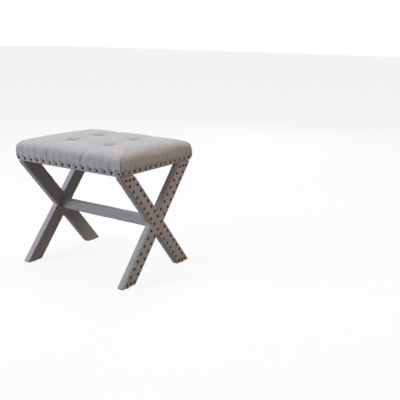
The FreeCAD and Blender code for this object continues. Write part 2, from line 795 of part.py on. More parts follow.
def frame_nails():
    """Nails along both edges of every half arm on a frame's outer face."""
    shift = FRAME_NAIL_EDGE * SLANT
    rise = CROSSING_Z - ARM_BOTTOM - FRAME_NAIL_END
    outer_end = HALF_DEPTH - LEAN * FRAME_NAIL_END - shift
    inner_end = HALF_DEPTH - ARM_RUN - LEAN * FRAME_NAIL_END + shift
    side_notch = ARM_RUN / 2 - shift
    end_notch = rise - inner_end / LEAN
    places = []
    for up in (-1, 1):
        places.append((0.0, up * end_notch))
        for side in (-1, 1):
            outer_start = FreeCAD.Vector(0, side * side_notch, 0)
            outer_stop = FreeCAD.Vector(0, side * outer_end, up * rise)
            inner_start = FreeCAD.Vector(0, 0, up * end_notch)
            inner_stop = FreeCAD.Vector(0, side * inner_end, up * rise)
            row = evenly(outer_start, outer_stop, OUTER_ROW_NAILS)[1:]
            row += evenly(inner_start, inner_stop, INNER_ROW_NAILS)[1:]
            row.append((outer_stop + inner_stop) * 0.5)
            places += [(point.y, point.z) for point in row]
    for side in (-1, 1):
        places.append((side * side_notch, 0.0))
    return [nail(FreeCAD.Vector(HALF_LENGTH, y, CROSSING_Z + z), ALONG) for y, z in places]


def both_ends(solids):
    """A right-hand set of pieces together with its copy at the left."""
    return solids + [turned_round(solid) for solid in solids]


def build():
    """Write every node of the stool."""
    os.makedirs("parts", exist_ok=True)
    save("seat_cover", seat_cover())
    save("foam_pad", foam_pad())
    save("side_wadding", side_wadding())
    save("tuft_buttons", tuft_buttons())
    save("tuft_twines", tuft_twines())
    save("tuft_washers", tuft_washers())
    front_rail, back_rail = long_rails()
    left_rail, right_rail = short_rails()
    save("front_rail", front_rail)
    save("back_rail", back_rail)
    save("left_rail", left_rail)
    save("right_rail", right_rail)
    save("corner_blocks", corner_blocks())
    save("seat_deck", seat_deck())
    save("dust_cover", dust_cover())
    save("rail_screws", rail_screws())
    save("deck_screws", deck_screws())
    save("frame_screws", frame_screws())
    save("frame_dowels", frame_dowels())
    falling_arm, rising_arm = frame_arms()
    right_frame = {
        "falling_arm": falling_arm,
        "rising_arm": rising_arm,
        "frame_wrap": frame_wrap(),
        "frame_panel": frame_panel(),
    }
    for name, solid in right_frame.items():
        save("right_" + name, solid)
        save("left_" + name, turned_round(solid))
    nails = frame_nails()
    save("right_frame_nails", nails)
    save("left_frame_nails", [turned_round(head) for head in nails])
    save("floor_glides", both_ends(glides()))
    save("stretcher_core", stretcher_core())
    save("stretcher_sleeve", stretcher_sleeve())
    save("stretcher_bolts", both_ends(stretcher_bolts()))
    save("barrel_nuts", both_ends(barrel_nuts()))
    save("stretcher_dowels", both_ends(stretcher_dowels()))
    save("front_seat_nails", long_side_nails(-1))
    save("back_seat_nails", long_side_nails(1))
    save("left_seat_nails", short_side_nails(-1))
    save("right_seat_nails", short_side_nails(1))


build()
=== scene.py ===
"""Looks of an upholstered stool: a tufted linen seat on two X-shaped end frames.

Every size is in metres, in the frame of the construction model: X along the seat,
Y from its front to its back, Z up from the floor.
"""

import logging
import math
import random
from dataclasses import dataclass
from enum import Enum
from typing import Callable, Sequence

import bpy
import numpy as np
from mathutils import Matrix, Vector
from mathutils.bvhtree import BVHTree


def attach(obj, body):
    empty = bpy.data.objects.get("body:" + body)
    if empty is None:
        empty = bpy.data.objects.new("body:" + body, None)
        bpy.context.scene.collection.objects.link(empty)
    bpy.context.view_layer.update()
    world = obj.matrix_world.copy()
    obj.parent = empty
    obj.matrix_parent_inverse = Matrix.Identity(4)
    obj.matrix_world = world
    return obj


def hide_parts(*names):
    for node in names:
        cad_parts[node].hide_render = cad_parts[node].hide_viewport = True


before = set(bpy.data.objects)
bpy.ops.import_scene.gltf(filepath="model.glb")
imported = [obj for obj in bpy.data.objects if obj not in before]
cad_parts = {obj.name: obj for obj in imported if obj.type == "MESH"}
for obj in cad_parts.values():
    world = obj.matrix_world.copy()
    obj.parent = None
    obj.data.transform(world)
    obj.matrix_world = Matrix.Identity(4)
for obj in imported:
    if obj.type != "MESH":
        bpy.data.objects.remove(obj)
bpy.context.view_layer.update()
LOG = logging.getLogger("stool")
MM = 0.001
BODY = "root"
WEAVE_MAP = "cloth"
# The point attribute that holds the cloth's painted shade
PAINTED_SHADE = "crease"
Colour = tuple[float, float, float]
Points = np.ndarray
Span = tuple[float, float]

# Sizes that several pieces share
HALF_LENGTH = 0.230
HALF_DEPTH = 0.187
UNDERSIDE = 0.370
FRAME_INNER = 0.205
ARM_LEAN = math.atan(0.836739)
TUFT_X = 0.082
TUFT_Y = 0.066


class Kind(Enum):
    """What an edit-mode operator works on."""

    POINTS = "VERT"
    EDGES = "EDGE"
    FACES = "FACE"


class Side(Enum):
    """The four sides of the seat, each with the way that it faces."""

    FRONT = (0.0, -1.0, 0.0)
    BACK = (0.0, 1.0, 0.0)
    LEFT = (-1.0, 0.0, 0.0)
    RIGHT = (1.0, 0.0, 0.0)

    @property
    def outward(self) -> Vector:
        """The way that this side faces."""
        return Vector(self.value)

    @property
    def word(self) -> str:
        """The side's name as the construction model's nodes have it."""
        return self.name.lower()


# Modelling tools


def take(piece: bpy.types.Object) -> None:
    """Selects one piece and nothing else.

    Args:
        piece: The piece to select.
    """
    bpy.ops.object.select_all(action="DESELECT")
    piece.select_set(True)
    bpy.context.view_layer.objects.active = piece


def named(name: str, scale: Sequence[float] = (1, 1, 1)) -> bpy.types.Object:
    """Names and stretches the primitive just added, and puts its place into its mesh.

    Args:
        name: Its name.
        scale: How far each of its axes is stretched.

    Returns:
        The named piece.
    """
    piece = bpy.context.active_object
    piece.name = piece.data.name = name
    piece.scale = scale
    bpy.ops.object.transform_apply(location=True, rotation=True, scale=True)
    return piece


def block(name: str, low: Sequence[float], high: Sequence[float], turn: float = 0.0) -> bpy.types.Object:
    """Adds a box between two corners.

    Args:
        name: The name of the new piece.
        low: The lowest corner.
        high: The highest corner.
        turn: How far the box is turned about X, in radians.

    Returns:
        The new piece.
    """
    bpy.ops.object.select_all(action="DESELECT")
    low, high = Vector(low), Vector(high)
    bpy.ops.mesh.primitive_cube_add(size=1, location=(low + high) / 2, rotation=(turn, 0, 0))
    return named(name, high - low)


def points_of(piece: bpy.types.Object) -> Points:
    """The places of a piece's points, one row each.

    Args:
        piece: The piece to read.

    Returns:
        A row for each point.
    """
    places = np.empty(len(piece.data.vertices) * 3)
    piece.data.vertices.foreach_get("co", places)
    return places.reshape(-1, 3)


def normals_of(piece: bpy.types.Object) -> Points:
    """The way that a piece's surface faces at each point.

    Args:
        piece: The piece to read.

    Returns:
        A row for each point.
    """
    ways = np.empty(len(piece.data.vertices) * 3)
    piece.data.vertices.foreach_get("normal", ways)
    return ways.reshape(-1, 3)


def put_points(piece: bpy.types.Object, places: Points) -> None:
    """Moves a piece's points to new places."""
    piece.data.vertices.foreach_set("co", places.astype(np.float32).ravel())
    piece.data.update()


def faces_of(piece: bpy.types.Object) -> tuple[Points, Points]:
    """The middles of a piece's faces, and the ways that they face.

    Args:
        piece: The piece to read.

    Returns:
        The middles and the ways, a row for each face.
    """
    count = len(piece.data.polygons)
    middles, ways = np.empty(count * 3), np.empty(count * 3)
    piece.data.polygons.foreach_get("center", middles)
    piece.data.polygons.foreach_get("normal", ways)
    return middles.reshape(-1, 3), ways.reshape(-1, 3)


def edges_of(piece: bpy.types.Object) -> tuple[Points, Points]:
    """The two ends of each of a piece's edges.

    Args:
        piece: The piece to read.

    Returns:
        The starts and the ends, a row for each edge.
    """
    ends = np.empty(len(piece.data.edges) * 2, dtype=np.int32)
    piece.data.edges.foreach_get("vertices", ends)
    places = points_of(piece)
    return places[ends[0::2]], places[ends[1::2]]


def work_on(piece: bpy.types.Object, kind: Kind, chosen: Points, tool: Callable[[], object]) -> None:
    """Selects some of a piece in edit mode and uses one tool on it.

    Args:
        piece: The piece to work on.
        kind: Whether points, edges or faces are chosen.
        chosen: True for each point, edge or face that the tool is for.
        tool: The operator's call.
    """
    take(piece)
    bpy.ops.object.mode_set(mode="EDIT")
    bpy.ops.mesh.select_mode(type=kind.value)
    bpy.ops.mesh.select_all(action="DESELECT")
    bpy.ops.object.mode_set(mode="OBJECT")
    parts = {
        Kind.POINTS: piece.data.vertices,
        Kind.EDGES: piece.data.edges,
        Kind.FACES: piece.data.polygons,
    }[kind]
    parts.foreach_set("select", np.asarray(chosen, dtype=bool))
    bpy.ops.object.mode_set(mode="EDIT")
    tool()
    bpy.ops.object.mode_set(mode="OBJECT")


def finish_with(piece: bpy.types.Object, kind: str, **settings: object) -> None:
    """Adds one modifier to a piece and applies it.

    Args:
        piece: The piece to finish.
        kind: The modifier's type.
        **settings: The modifier's settings.
    """
    take(piece)
    modifier = piece.modifiers.new(kind.title(), kind)
    for name, value in settings.items():
        setattr(modifier, name, value)
    bpy.ops.object.modifier_apply(modifier=modifier.name)


def remesh(piece: bpy.types.Object, size: float, smoothings: int = 0) -> None:
    """Gives a piece an even net of small faces, and softens its edges.

    Args:
        piece: The closed piece to net.
        size: The size of the faces.
        smoothings: How many times its edges are softened.
    """
    finish_with(piece, "REMESH", mode="VOXEL", voxel_size=size)
    if smoothings:
        finish_with(piece, "SMOOTH", factor=0.5, iterations=smoothings)


def copied(source: bpy.types.Object, name: str, place: Matrix | None = None) -> bpy.types.Object:
    """Copies a piece with a mesh of its own.

    Args:
        source: The piece or node to copy.
        name: The copy's name.
        place: Where the copy's mesh goes, if it is moved.

    Returns:
        The copy, with no parent and at the origin.
    """
    mesh = source.data.copy()
    mesh.name = name
    if place is not None:
        mesh.transform(place)
    piece = bpy.data.objects.new(name, mesh)
    bpy.context.scene.collection.objects.link(piece)
    return piece


def joined(pieces: Sequence[bpy.types.Object], name: str) -> bpy.types.Object:
    """Joins several pieces into one of that name.

    Args:
        pieces: The pieces to join.
        name: The name of the whole.

    Returns:
        The whole.
    """
    bpy.ops.object.select_all(action="DESELECT")
    for piece in pieces:
        piece.select_set(True)
    bpy.context.view_layer.objects.active = pieces[0]
    bpy.ops.object.join()
    whole = bpy.context.active_object
    whole.name = whole.data.name = name
    return whole


def removed(piece: bpy.types.Object) -> None:
    """Removes a piece that was only a pattern for others."""
    bpy.data.objects.remove(piece)


def bevelled(piece: bpy.types.Object, chosen: Points, width: float, steps: int) -> None:
    """Rounds the chosen edges of a piece."""
    work_on(
        piece,
        Kind.EDGES,
        chosen,
        lambda: bpy.ops.mesh.bevel(offset=width, segments=steps, affect="EDGES"),
    )


def on_all(piece: bpy.types.Object, tool: Callable[[], object]) -> None:
    """Uses one edit-mode tool on the whole of a piece."""
    work_on(piece, Kind.POINTS, np.ones(len(piece.data.vertices)), tool)


def merged(piece: bpy.types.Object) -> None:
    """Merges the loose triangles of a copied construction node."""
    on_all(piece, lambda: bpy.ops.mesh.remove_doubles(threshold=0.02 * MM))


def sliced(piece: bpy.types.Object, place: Sequence[float], way: Sequence[float], **settings: bool) -> None:
    """Cuts a piece through by a plane, and clears one side of it away."""
    on_all(piece, lambda: bpy.ops.mesh.bisect(plane_co=place, plane_no=way, **settings))


def without(piece: bpy.types.Object, chosen: Points) -> None:
    """Deletes the chosen faces of a piece."""
    work_on(piece, Kind.FACES, chosen, lambda: bpy.ops.mesh.delete(type="FACE"))


def dome(name: str, radius: float, height: float, net: tuple[int, int], closed: bool) -> bpy.types.Object:
    """Models a flattened half of a ball that stands on the floor.

    Args:
        name: The new piece's name.
        radius: Its radius.
        height: Its height.
        net: How many faces it has round it, and how many from pole to pole of the whole ball.
        closed: Whether its foot is filled.

    Returns:
        The dome.
    """
    bpy.ops.object.select_all(action="DESELECT")
    bpy.ops.mesh.primitive_uv_sphere_add(segments=net[0], ring_count=net[1], radius=radius)
    half = named(name, (1, 1, height / radius))
    sliced(half, (0, 0, 0), (0, 0, 1), clear_inner=True, use_fill=closed)
    return half


def smoothly(low: float, high: float, value: Points) -> Points:
    """A soft step from 0 at low to 1 at high."""
    share = np.clip((value - low) / (high - low), 0.0, 1.0)
    return share * share * (3.0 - 2.0 * share)


def hill(distance: Points, width: float) -> Points:
    """A soft hill of height 1 that falls away over width."""
    return np.exp(-((distance / width) ** 2))


def soft_limit(value: Points, limit: Points | float, softness: float = 1.6 * MM) -> Points:
    """Keeps each value below its limit, with a soft turn where they meet."""
    return limit - softness * np.logaddexp(0.0, (limit - value) / softness)


def lay_weave(piece: bpy.types.Object, lay: Callable[[Points, Points], Points]) -> None:
    """Gives a piece the map that its weave follows, in metres of cloth.

    Args:
        piece: The cloth piece.
        lay: Turns corner places and the ways they face into two map coordinates.
    """
    mesh = piece.data
    _, ways = faces_of(piece)
    sizes = np.empty(len(mesh.polygons), dtype=np.int32)
    mesh.polygons.foreach_get("loop_total", sizes)
    corners = np.empty(len(mesh.loops), dtype=np.int32)
    mesh.loops.foreach_get("vertex_index", corners)
    flat = lay(points_of(piece)[corners], np.repeat(ways, sizes, axis=0))
    layer = mesh.uv_layers.new(name=WEAVE_MAP)
    layer.data.foreach_set("uv", flat.astype(np.float32).ravel())


def weave_by_side(places: Points, ways: Points) -> Points:
    """Lays the weave straight on the top and down each side of a box-like piece.

    Args:
        places: The places of the faces' corners.
        ways: The ways that the faces look.

    Returns:
        Two map coordinates for each corner.
    """
    x, y, z = places.T
    across, along, up = np.abs(ways.T)
    top = (up >= across) & (up >= along)
    end = ~top & (across > along)
    return np.stack([np.where(end, y, x), np.where(top, y, z)], axis=1)


def store_painted_shade(piece: bpy.types.Object, depth: Points) -> None:
    """Keeps how much painted shade each point gets in the cloth's colour, most in folds."""
    layer = piece.data.attributes.new(PAINTED_SHADE, "FLOAT", "POINT")
    layer.data.foreach_set("value", np.clip(depth, 0.0, 1.0).astype(np.float32))


@dataclass(frozen=True)
class Ripple:
    """Soft irregular waves, the same in every run."""

    seed: int
    wavelength: float
    waves: int = 18
    spread: Span = (0.7, 1.5)

    def at(self, places: Points) -> Points:
        """The height of the waves at each place, about -1 to 1.

        Args:
            places: The places to ask for.

        Returns:
            A height for each place.
        """
        chance = random.Random(self.seed)
        total = np.zeros(len(places))
        for _ in range(self.waves):
            way = Vector([chance.gauss(0, 1) for _ in range(3)]).normalized()
            pace = math.tau / (self.wavelength * chance.uniform(*self.spread))
            total += np.sin(places @ np.array(way) * pace + chance.uniform(0, math.tau))
        return total / math.sqrt(self.waves)


# Shader tools


class Wire:
    """A number, colour or vector on its way through a material's nodes."""

    def __init__(self, graph: "Graph", socket: bpy.types.NodeSocket) -> None:
        """Wraps one output socket."""
        self.graph = graph
        self.socket = socket

    def _maths(self, operation: str, left: "Wire | float", right: "Wire | float") -> "Wire":
        """Adds one Math node."""
        node = self.graph.add("ShaderNodeMath", {"operation": operation}, {0: left, 1: right})
        return Wire(self.graph, node.outputs[0])

    def __add__(self, other: "Wire | float") -> "Wire":
        """Adds two values."""
        return self._maths("ADD", self, other)

    __radd__ = __add__

    def __sub__(self, other: "Wire | float") -> "Wire":
        """Takes another value away from this one."""
        return self._maths("SUBTRACT", self, other)

    def __rsub__(self, other: "Wire | float") -> "Wire":
        """Takes this value away from another."""
        return self._maths("SUBTRACT", other, self)

    def __mul__(self, other: "Wire | float") -> "Wire":
        """Multiplies two values."""
        return self._maths("MULTIPLY", self, other)

    __rmul__ = __mul__


class Graph:
    """The nodes that make a material, or the room's air."""

    def __init__(self, owner: bpy.types.Material | bpy.types.World) -> None:
        """Starts with no nodes.

        Args:
            owner: The new material or world that the nodes are for.
        """
        self.owner = owner
        self.owner.use_nodes = True
        self.tree = self.owner.node_tree
        self.tree.nodes.clear()

    def add(self, kind: str, settings: dict | None = None, sockets: dict | None = None) -> bpy.types.Node:
        """Adds a node, sets it, and then feeds it.

        Args:
            kind: The node's type.
            settings: Its settings by name, with a ramp's stops under "stops".
            sockets: Values or wires for its inputs, by name or number.

        Returns:
            The node.
        """
        node = self.tree.nodes.new(kind)
        for name, value in (settings or {}).items():
            if name == "stops":
                self._set_stops(node.color_ramp, value)
            else:
                setattr(node, name, value)
        for name, value in (sockets or {}).items():
            if isinstance(value, Wire):
                self.tree.links.new(value.socket, node.inputs[name])
            else:
                node.inputs[name].default_value = value
        return node

    @staticmethod
    def _set_stops(ramp: bpy.types.ColorRamp, stops: Sequence[tuple[float, float]]) -> None:
        """Gives a ramp its two grey stops.

        Args:
            ramp: The ramp to set.
            stops: Each stop's place and its grey.
        """
        for element, (place, grey) in zip(ramp.elements, stops):
            element.position = place
            element.color = (grey, grey, grey, 1.0)

    def out(self, node: bpy.types.Node, name: str | int = 0) -> Wire:
        """One output of a node."""
        return Wire(self, node.outputs[name])

    def object_place(self) -> Wire:
        """Where the surface is, in the object's own metres."""
        return self.out(self.add("ShaderNodeTexCoord"), "Object")

    def cloth_place(self) -> Wire:
        """Where the surface is on the flat cloth, in metres."""
        return self.out(self.add("ShaderNodeUVMap", {"uv_map": WEAVE_MAP}))

    def stretched(self, place: Wire, scale: Colour) -> Wire:
        """A place with each of its axes multiplied."""
        return self.out(self.add("ShaderNodeVectorMath", {"operation": "MULTIPLY"}, {0: place, 1: scale}))

    def noise(self, place: Wire, scale: float, detail: float = 3.0, rough: float = 0.5) -> Wire:
        """Soft noise between 0 and 1."""
        sockets = {"Vector": place, "Scale": scale, "Detail": detail, "Roughness": rough}
        return self.out(self.add("ShaderNodeTexNoise", None, sockets), 0)

    def ramp(self, value: Wire, low: float, high: float) -> Wire:
        """A value stretched over the whole range.

        Args:
            value: The value to stretch.
            low: What turns into 0, with all that is lower.
            high: What turns into 1, with all that is higher.

        Returns:
            The stretched value.
        """
        stops = [(low, 0.0), (high, 1.0)]
        return self.out(self.add("ShaderNodeValToRGB", {"stops": stops}, {"Fac": value}))

    def mix(self, share: Wire | float, first: Wire | Colour, second: Wire | Colour) -> Wire:
        """A colour between two others.

        Args:
            share: How much of the second colour there is.
            first: The colour at 0.
            second: The colour at 1.

        Returns:
            The mixed colour.
        """
        ends = [c if isinstance(c, Wire) else (*c, 1.0) for c in (first, second)]
        node = self.add("ShaderNodeMix", {"data_type": "RGBA"}, {0: share, 6: ends[0], 7: ends[1]})
        return self.out(node, 2)

    def wave(self, place: Wire, axis: str, length: float, bend: float = 0.0) -> Wire:
        """Even waves across one axis, between 0 and 1.

        Args:
            place: Where on the pattern the surface is.
            axis: The axis that the waves run across.
            length: From one wave to the next, in metres. Blender counts 20 radians to a unit.
            bend: How uneven the waves are.

        Returns:
            The waves' height.
        """
        scale = math.tau / (20.0 * length)
        sockets = {"Vector": place, "Scale": scale, "Distortion": bend}
        settings = {"wave_type": "BANDS", "bands_direction": axis}
        return self.out(self.add("ShaderNodeTexWave", settings, sockets), 1)

    def finish(self, bump: Wire, depth: float, **sockets: object) -> bpy.types.Material:
        """Closes the material with a raised surface.

        Args:
            bump: The height of the fine surface, between 0 and 1.
            depth: The height in metres that 1 stands for.
            **sockets: The shader's sockets, with _ for a space in their names.

        Returns:
            The material.
        """
        raised = self.add("ShaderNodeBump", None, {"Height": bump, "Distance": depth, "Strength": 1.0})
        shader = self.add(
            "ShaderNodeBsdfPrincipled",
            None,
            {"Normal": self.out(raised), **{k.replace("_", " "): v for k, v in sockets.items()}},
        )
        self.add("ShaderNodeOutputMaterial", None, {"Surface": self.out(shader)})
        return self.owner


# Finishes


@dataclass(frozen=True)
class Linen:
    """Heathered linen-like cloth with uneven threads, darkened towards a warm tan by painted shade in its
    folds, seams and dents.
    """

    pale: Colour = (0.61, 0.60, 0.59)
    dusk: Colour = (0.43, 0.415, 0.40)
    # The warm tan of the painted shade in folds, seams, dents and recesses
    fold: Colour = (0.33, 0.235, 0.19)
    thread: float = 1.3 * MM
    thread_bend: float = 0.4
    slub_scale: float = 620.0
    slub_stretch: float = 0.06
    slub_ramp: Span = (0.36, 0.64)
    heather_scale: float = 260.0
    cloud_scale: float = 14.0
    tone_shares: tuple[float, ...] = (0.42, 0.30, 0.22, 0.12)
    tone_ramp: Span = (0.28, 0.80)
    relief: float = 0.25 * MM

    def material(self) -> bpy.types.Material:
        """Builds the cloth's material.

        Returns:
            The finished material.
        """
        graph = Graph(bpy.data.materials.new("linen"))
        cloth, place = graph.cloth_place(), graph.object_place()
        warp, weft = (graph.wave(cloth, axis, self.thread, self.thread_bend) for axis in "XY")
        up, across = (
            graph.noise(graph.stretched(cloth, stretch), self.slub_scale, 2.0)
            for stretch in ((1.0, self.slub_stretch, 1.0), (self.slub_stretch, 1.0, 1.0))
        )
        heather = graph.noise(place, self.heather_scale, 4.0, 0.65)
        cloud = graph.noise(place, self.cloud_scale, 2.0)
        slubs = graph.ramp(up * 0.5 + across * 0.5, *self.slub_ramp)
        weave = warp * weft
        slub_share, heather_share, cloud_share, weave_share = self.tone_shares
        tone = slubs * slub_share + heather * heather_share + cloud * cloud_share + weave * weave_share
        base = graph.mix(graph.ramp(tone, *self.tone_ramp), self.dusk, self.pale)
        # Painted shade: each point's stored amount turns the cloth towards the warm tan fold colour
        crease = graph.out(graph.add("ShaderNodeAttribute", {"attribute_name": PAINTED_SHADE}), "Fac")
        colour = graph.mix(crease, base, self.fold)
        return graph.finish(
            weave * 0.6 + slubs * 0.4,
            self.relief,
            Base_Color=colour,
            Roughness=0.80 + slubs * 0.15,
            Specular_IOR_Level=0.25,
            Sheen_Weight=0.18,
            Sheen_Roughness=0.45,
        )


@dataclass(frozen=True)
class AntiqueBrass:
    """Brass darkened to brown, with wear showing gold on its high spots."""

    dark: Colour = (0.036, 0.024, 0.018)
    gold: Colour = (0.55, 0.38, 0.18)
    wear_scale: float = 420.0
    wear_ramp: Span = (0.55, 0.78)
    wear: float = 0.70
    pit_scale: float = 1500.0
    relief: float = 0.10 * MM

    def material(self) -> bpy.types.Material:
        """Builds the nailheads' material.

        Returns:
            The finished material.
        """
        graph = Graph(bpy.data.materials.new("antique_brass"))
        place = graph.object_place()
        worn = graph.ramp(graph.noise(place, self.wear_scale, 3.0, 0.6), *self.wear_ramp)
        pits = graph.noise(place, self.pit_scale, 2.0)
        return graph.finish(
            pits * 0.5 + worn * 0.5,
            self.relief,
            Base_Color=graph.mix(worn * self.wear, self.dark, self.gold),
            Metallic=1.0,
            Roughness=0.30 + pits * 0.25,
        )


@dataclass(frozen=True)
class Timber:
    """Bare wood with its grain along one way."""

    name: str
    early: Colour
    late: Colour
    stretch: Colour
    turn: float = 0.0
    streak_scale: float = 90.0
    streak_ramp: Span = (0.35, 0.68)
    pore_scale: float = 900.0
    pore_ramp: Span = (0.38, 0.5)
    relief: float = 0.15 * MM

    def material(self) -> bpy.types.Material:
        """Builds the wood's material, its pores and end-to-end streaks.

        Returns:
            The finished material.
        """
        graph = Graph(bpy.data.materials.new(self.name))
        turned = graph.add(
            "ShaderNodeMapping",
            {"vector_type": "TEXTURE"},
            {"Vector": graph.object_place(), "Rotation": (self.turn, 0.0, 0.0)},
        )
        grain = graph.stretched(graph.out(turned), self.stretch)
        streaks = graph.noise(grain, self.streak_scale, 5.0, 0.6)
        pores = graph.ramp(graph.noise(grain, self.pore_scale, 2.0), *self.pore_ramp)
        tone = graph.ramp(streaks, *self.streak_ramp) * 0.8 + pores * 0.2
        return graph.finish(
            streaks * 0.4 + pores * 0.6,
            self.relief,
            Base_Color=graph.mix(tone, self.late, self.early),
            Roughness=0.75 - pores * 0.15,
        )


@dataclass(frozen=True)
class ZincSteel:
    """Plated steel with a faint yellow bloom."""

    plate: Colour = (0.62, 0.63, 0.64)
    bloom: Colour = (0.50, 0.47, 0.38)
    patch_scale: float = 300.0
    scratch_scale: float = 2400.0
    scratch_stretch: Colour = (1.0, 0.08, 1.0)
    relief: float = 0.03 * MM

    def material(self) -> bpy.types.Material:
        """Builds the fixings' material.

        Returns:
            The finished material.
        """
        graph = Graph(bpy.data.materials.new("zinc_steel"))
        place = graph.object_place()
        patches = graph.noise(place, self.patch_scale, 4.0, 0.6)
        scratches = graph.noise(graph.stretched(place, self.scratch_stretch), self.scratch_scale, 2.0)
        return graph.finish(
            scratches,
            self.relief,
            Base_Color=graph.mix(patches, self.plate, self.bloom),
            Metallic=1.0,
            Roughness=0.28 + scratches * 0.25,
        )


@dataclass(frozen=True)
class FineCloth:
    """Thin bonded or twisted fibres: under cloth, wadding, foam or twine."""

    name: str
    fibre: Colour
    shade: Colour
    scale: float
    depth: float
    patch_share: float = 0.06
    tone_ramp: Span = (0.35, 0.65)

    def material(self) -> bpy.types.Material:
        """Builds the fibres' material.

        Returns:
            The finished material.
        """
        graph = Graph(bpy.data.materials.new(self.name))
        place = graph.object_place()
        fibres = graph.noise(place, self.scale, 6.0, 0.7)
        patches = graph.noise(place, self.scale * self.patch_share, 3.0)
        tone = graph.ramp(fibres, *self.tone_ramp) * 0.7 + patches * 0.3
        return graph.finish(
            fibres,
            self.depth,
            Base_Color=graph.mix(tone, self.shade, self.fibre),
            Roughness=0.82 + fibres * 0.15,
            Specular_IOR_Level=0.2,
        )


@dataclass(frozen=True)
class BrownPlastic:
    """Moulded plastic, scuffed where it slides."""

    clean: Colour = (0.060, 0.042, 0.030)
    scuffed: Colour = (0.16, 0.13, 0.11)
    scuff_scale: float = 500.0
    scuff_ramp: Span = (0.45, 0.75)
    grain_scale: float = 1800.0
    relief: float = 0.04 * MM

    def material(self) -> bpy.types.Material:
        """Builds the glides' material.

        Returns:
            The finished material.
        """
        graph = Graph(bpy.data.materials.new("brown_plastic"))
        place = graph.object_place()
        scuffs = graph.ramp(graph.noise(place, self.scuff_scale, 5.0, 0.7), *self.scuff_ramp)
        return graph.finish(
            graph.noise(place, self.grain_scale, 2.0),
            self.relief,
            Base_Color=graph.mix(scuffs, self.clean, self.scuffed),
            Roughness=0.42 + scuffs * 0.3,
        )


def hand_over(
    piece: bpy.types.Object,
    finish: bpy.types.Material,
    nodes: Sequence[str] = (),
) -> None:
    """Gives a finished piece its material and its place in the frame.

    Args:
        piece: The finished piece.
        finish: Its material.
        nodes: The construction nodes that it stands for.
    """
    take(piece)
    bpy.ops.object.shade_smooth()
    piece.data.materials.clear()
    piece.data.materials.append(finish)
    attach(piece, BODY)
    if nodes:
        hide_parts(*nodes)
    LOG.info("%s: %d faces", piece.name, len(piece.data.polygons))


# Nailheads


def nail_places(node: str, outward: Vector) -> list[Vector]:
    """Finds the crown of each nailhead of a construction node.

    Args:
        node: The node that holds the nailheads.
        outward: The way that they face.

    Returns:
        One crown for each nailhead.
    """
    places = points_of(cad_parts[node])
    heights = places @ np.array(outward)
    crowns: list[Vector] = []
    for place in places[heights > heights.max() - 0.5 * MM]:
        spot = Vector(place)
        if all((spot - other).length > 4 * MM for other in crowns):
            crowns.append(spot)
    return crowns


@dataclass
class Nailheads:
    """The domed nails of the seat and the frames."""

    finish: bpy.types.Material
    radius: float = 5.5 * MM
    height: float = 2.9 * MM
    skirt: float = 0.7 * MM
    tilt: float = 0.09
    stray: float = 0.45 * MM

    def pattern(self) -> bpy.types.Object:
        """Models the one nailhead that all the others are copied from.

        Returns:
            The nailhead, with a short skirt that reaches into the cloth.
        """
        head = dome("nail_pattern", self.radius, self.height, (12, 8), closed=False)
        move = {"value": (0, 0, -self.skirt)}
        start, end = edges_of(head)
        rim = np.maximum(start[:, 2], end[:, 2]) < 0.01 * MM
        work_on(
            head,
            Kind.EDGES,
            rim,
            lambda: bpy.ops.mesh.extrude_edges_move(TRANSFORM_OT_translate=move),
        )
        return head

    def build(self, node: str, side: Side, name: str, seed: int) -> None:
        """Sets a nailhead on each place of one construction node.

        Args:
            node: The construction node.
            side: The side that the nails face.
            name: The new piece's name.
            seed: Fixes how unevenly they are driven in.
        """
        chance = random.Random(seed)
        pattern = self.pattern()
        heads = []
        for number, crown in enumerate(nail_places(node, side.outward)):
            lean = Vector([chance.gauss(0, self.tilt) for _ in range(3)])
            facing = (side.outward + lean - lean.project(side.outward)).normalized()
            slip = Vector([chance.uniform(-self.stray, self.stray) for _ in range(3)])
            base = crown - side.outward * self.height + slip - slip.project(side.outward)
            turn = Vector((0, 0, 1)).rotation_difference(facing).to_matrix().to_4x4()
            spin = Matrix.Rotation(chance.uniform(0, math.tau), 4, "Z")
            heads.append(copied(pattern, f"{name}_{number}", Matrix.Translation(base) @ turn @ spin))
        removed(pattern)
        hand_over(joined(heads, name), self.finish, [node])


# The seat


def tufts() -> list[Vector]:
    """The middles of the four tufts."""
    return [Vector((sx * TUFT_X, sy * TUFT_Y)) for sx in (-1, 1) for sy in (-1, 1)]


def distance(x: Points, y: Points, spot: Vector) -> Points:
    """How far each place lies from a spot, seen from above."""
    return np.hypot(x - spot.x, y - spot.y)


def from_corner(x: Points, y: Points, inset: float = 0.0) -> Points:
    """How far each place lies from the seat's nearest corner, seen from above."""
    return np.hypot(np.abs(x) - HALF_LENGTH + inset, np.abs(y) - HALF_DEPTH + inset)


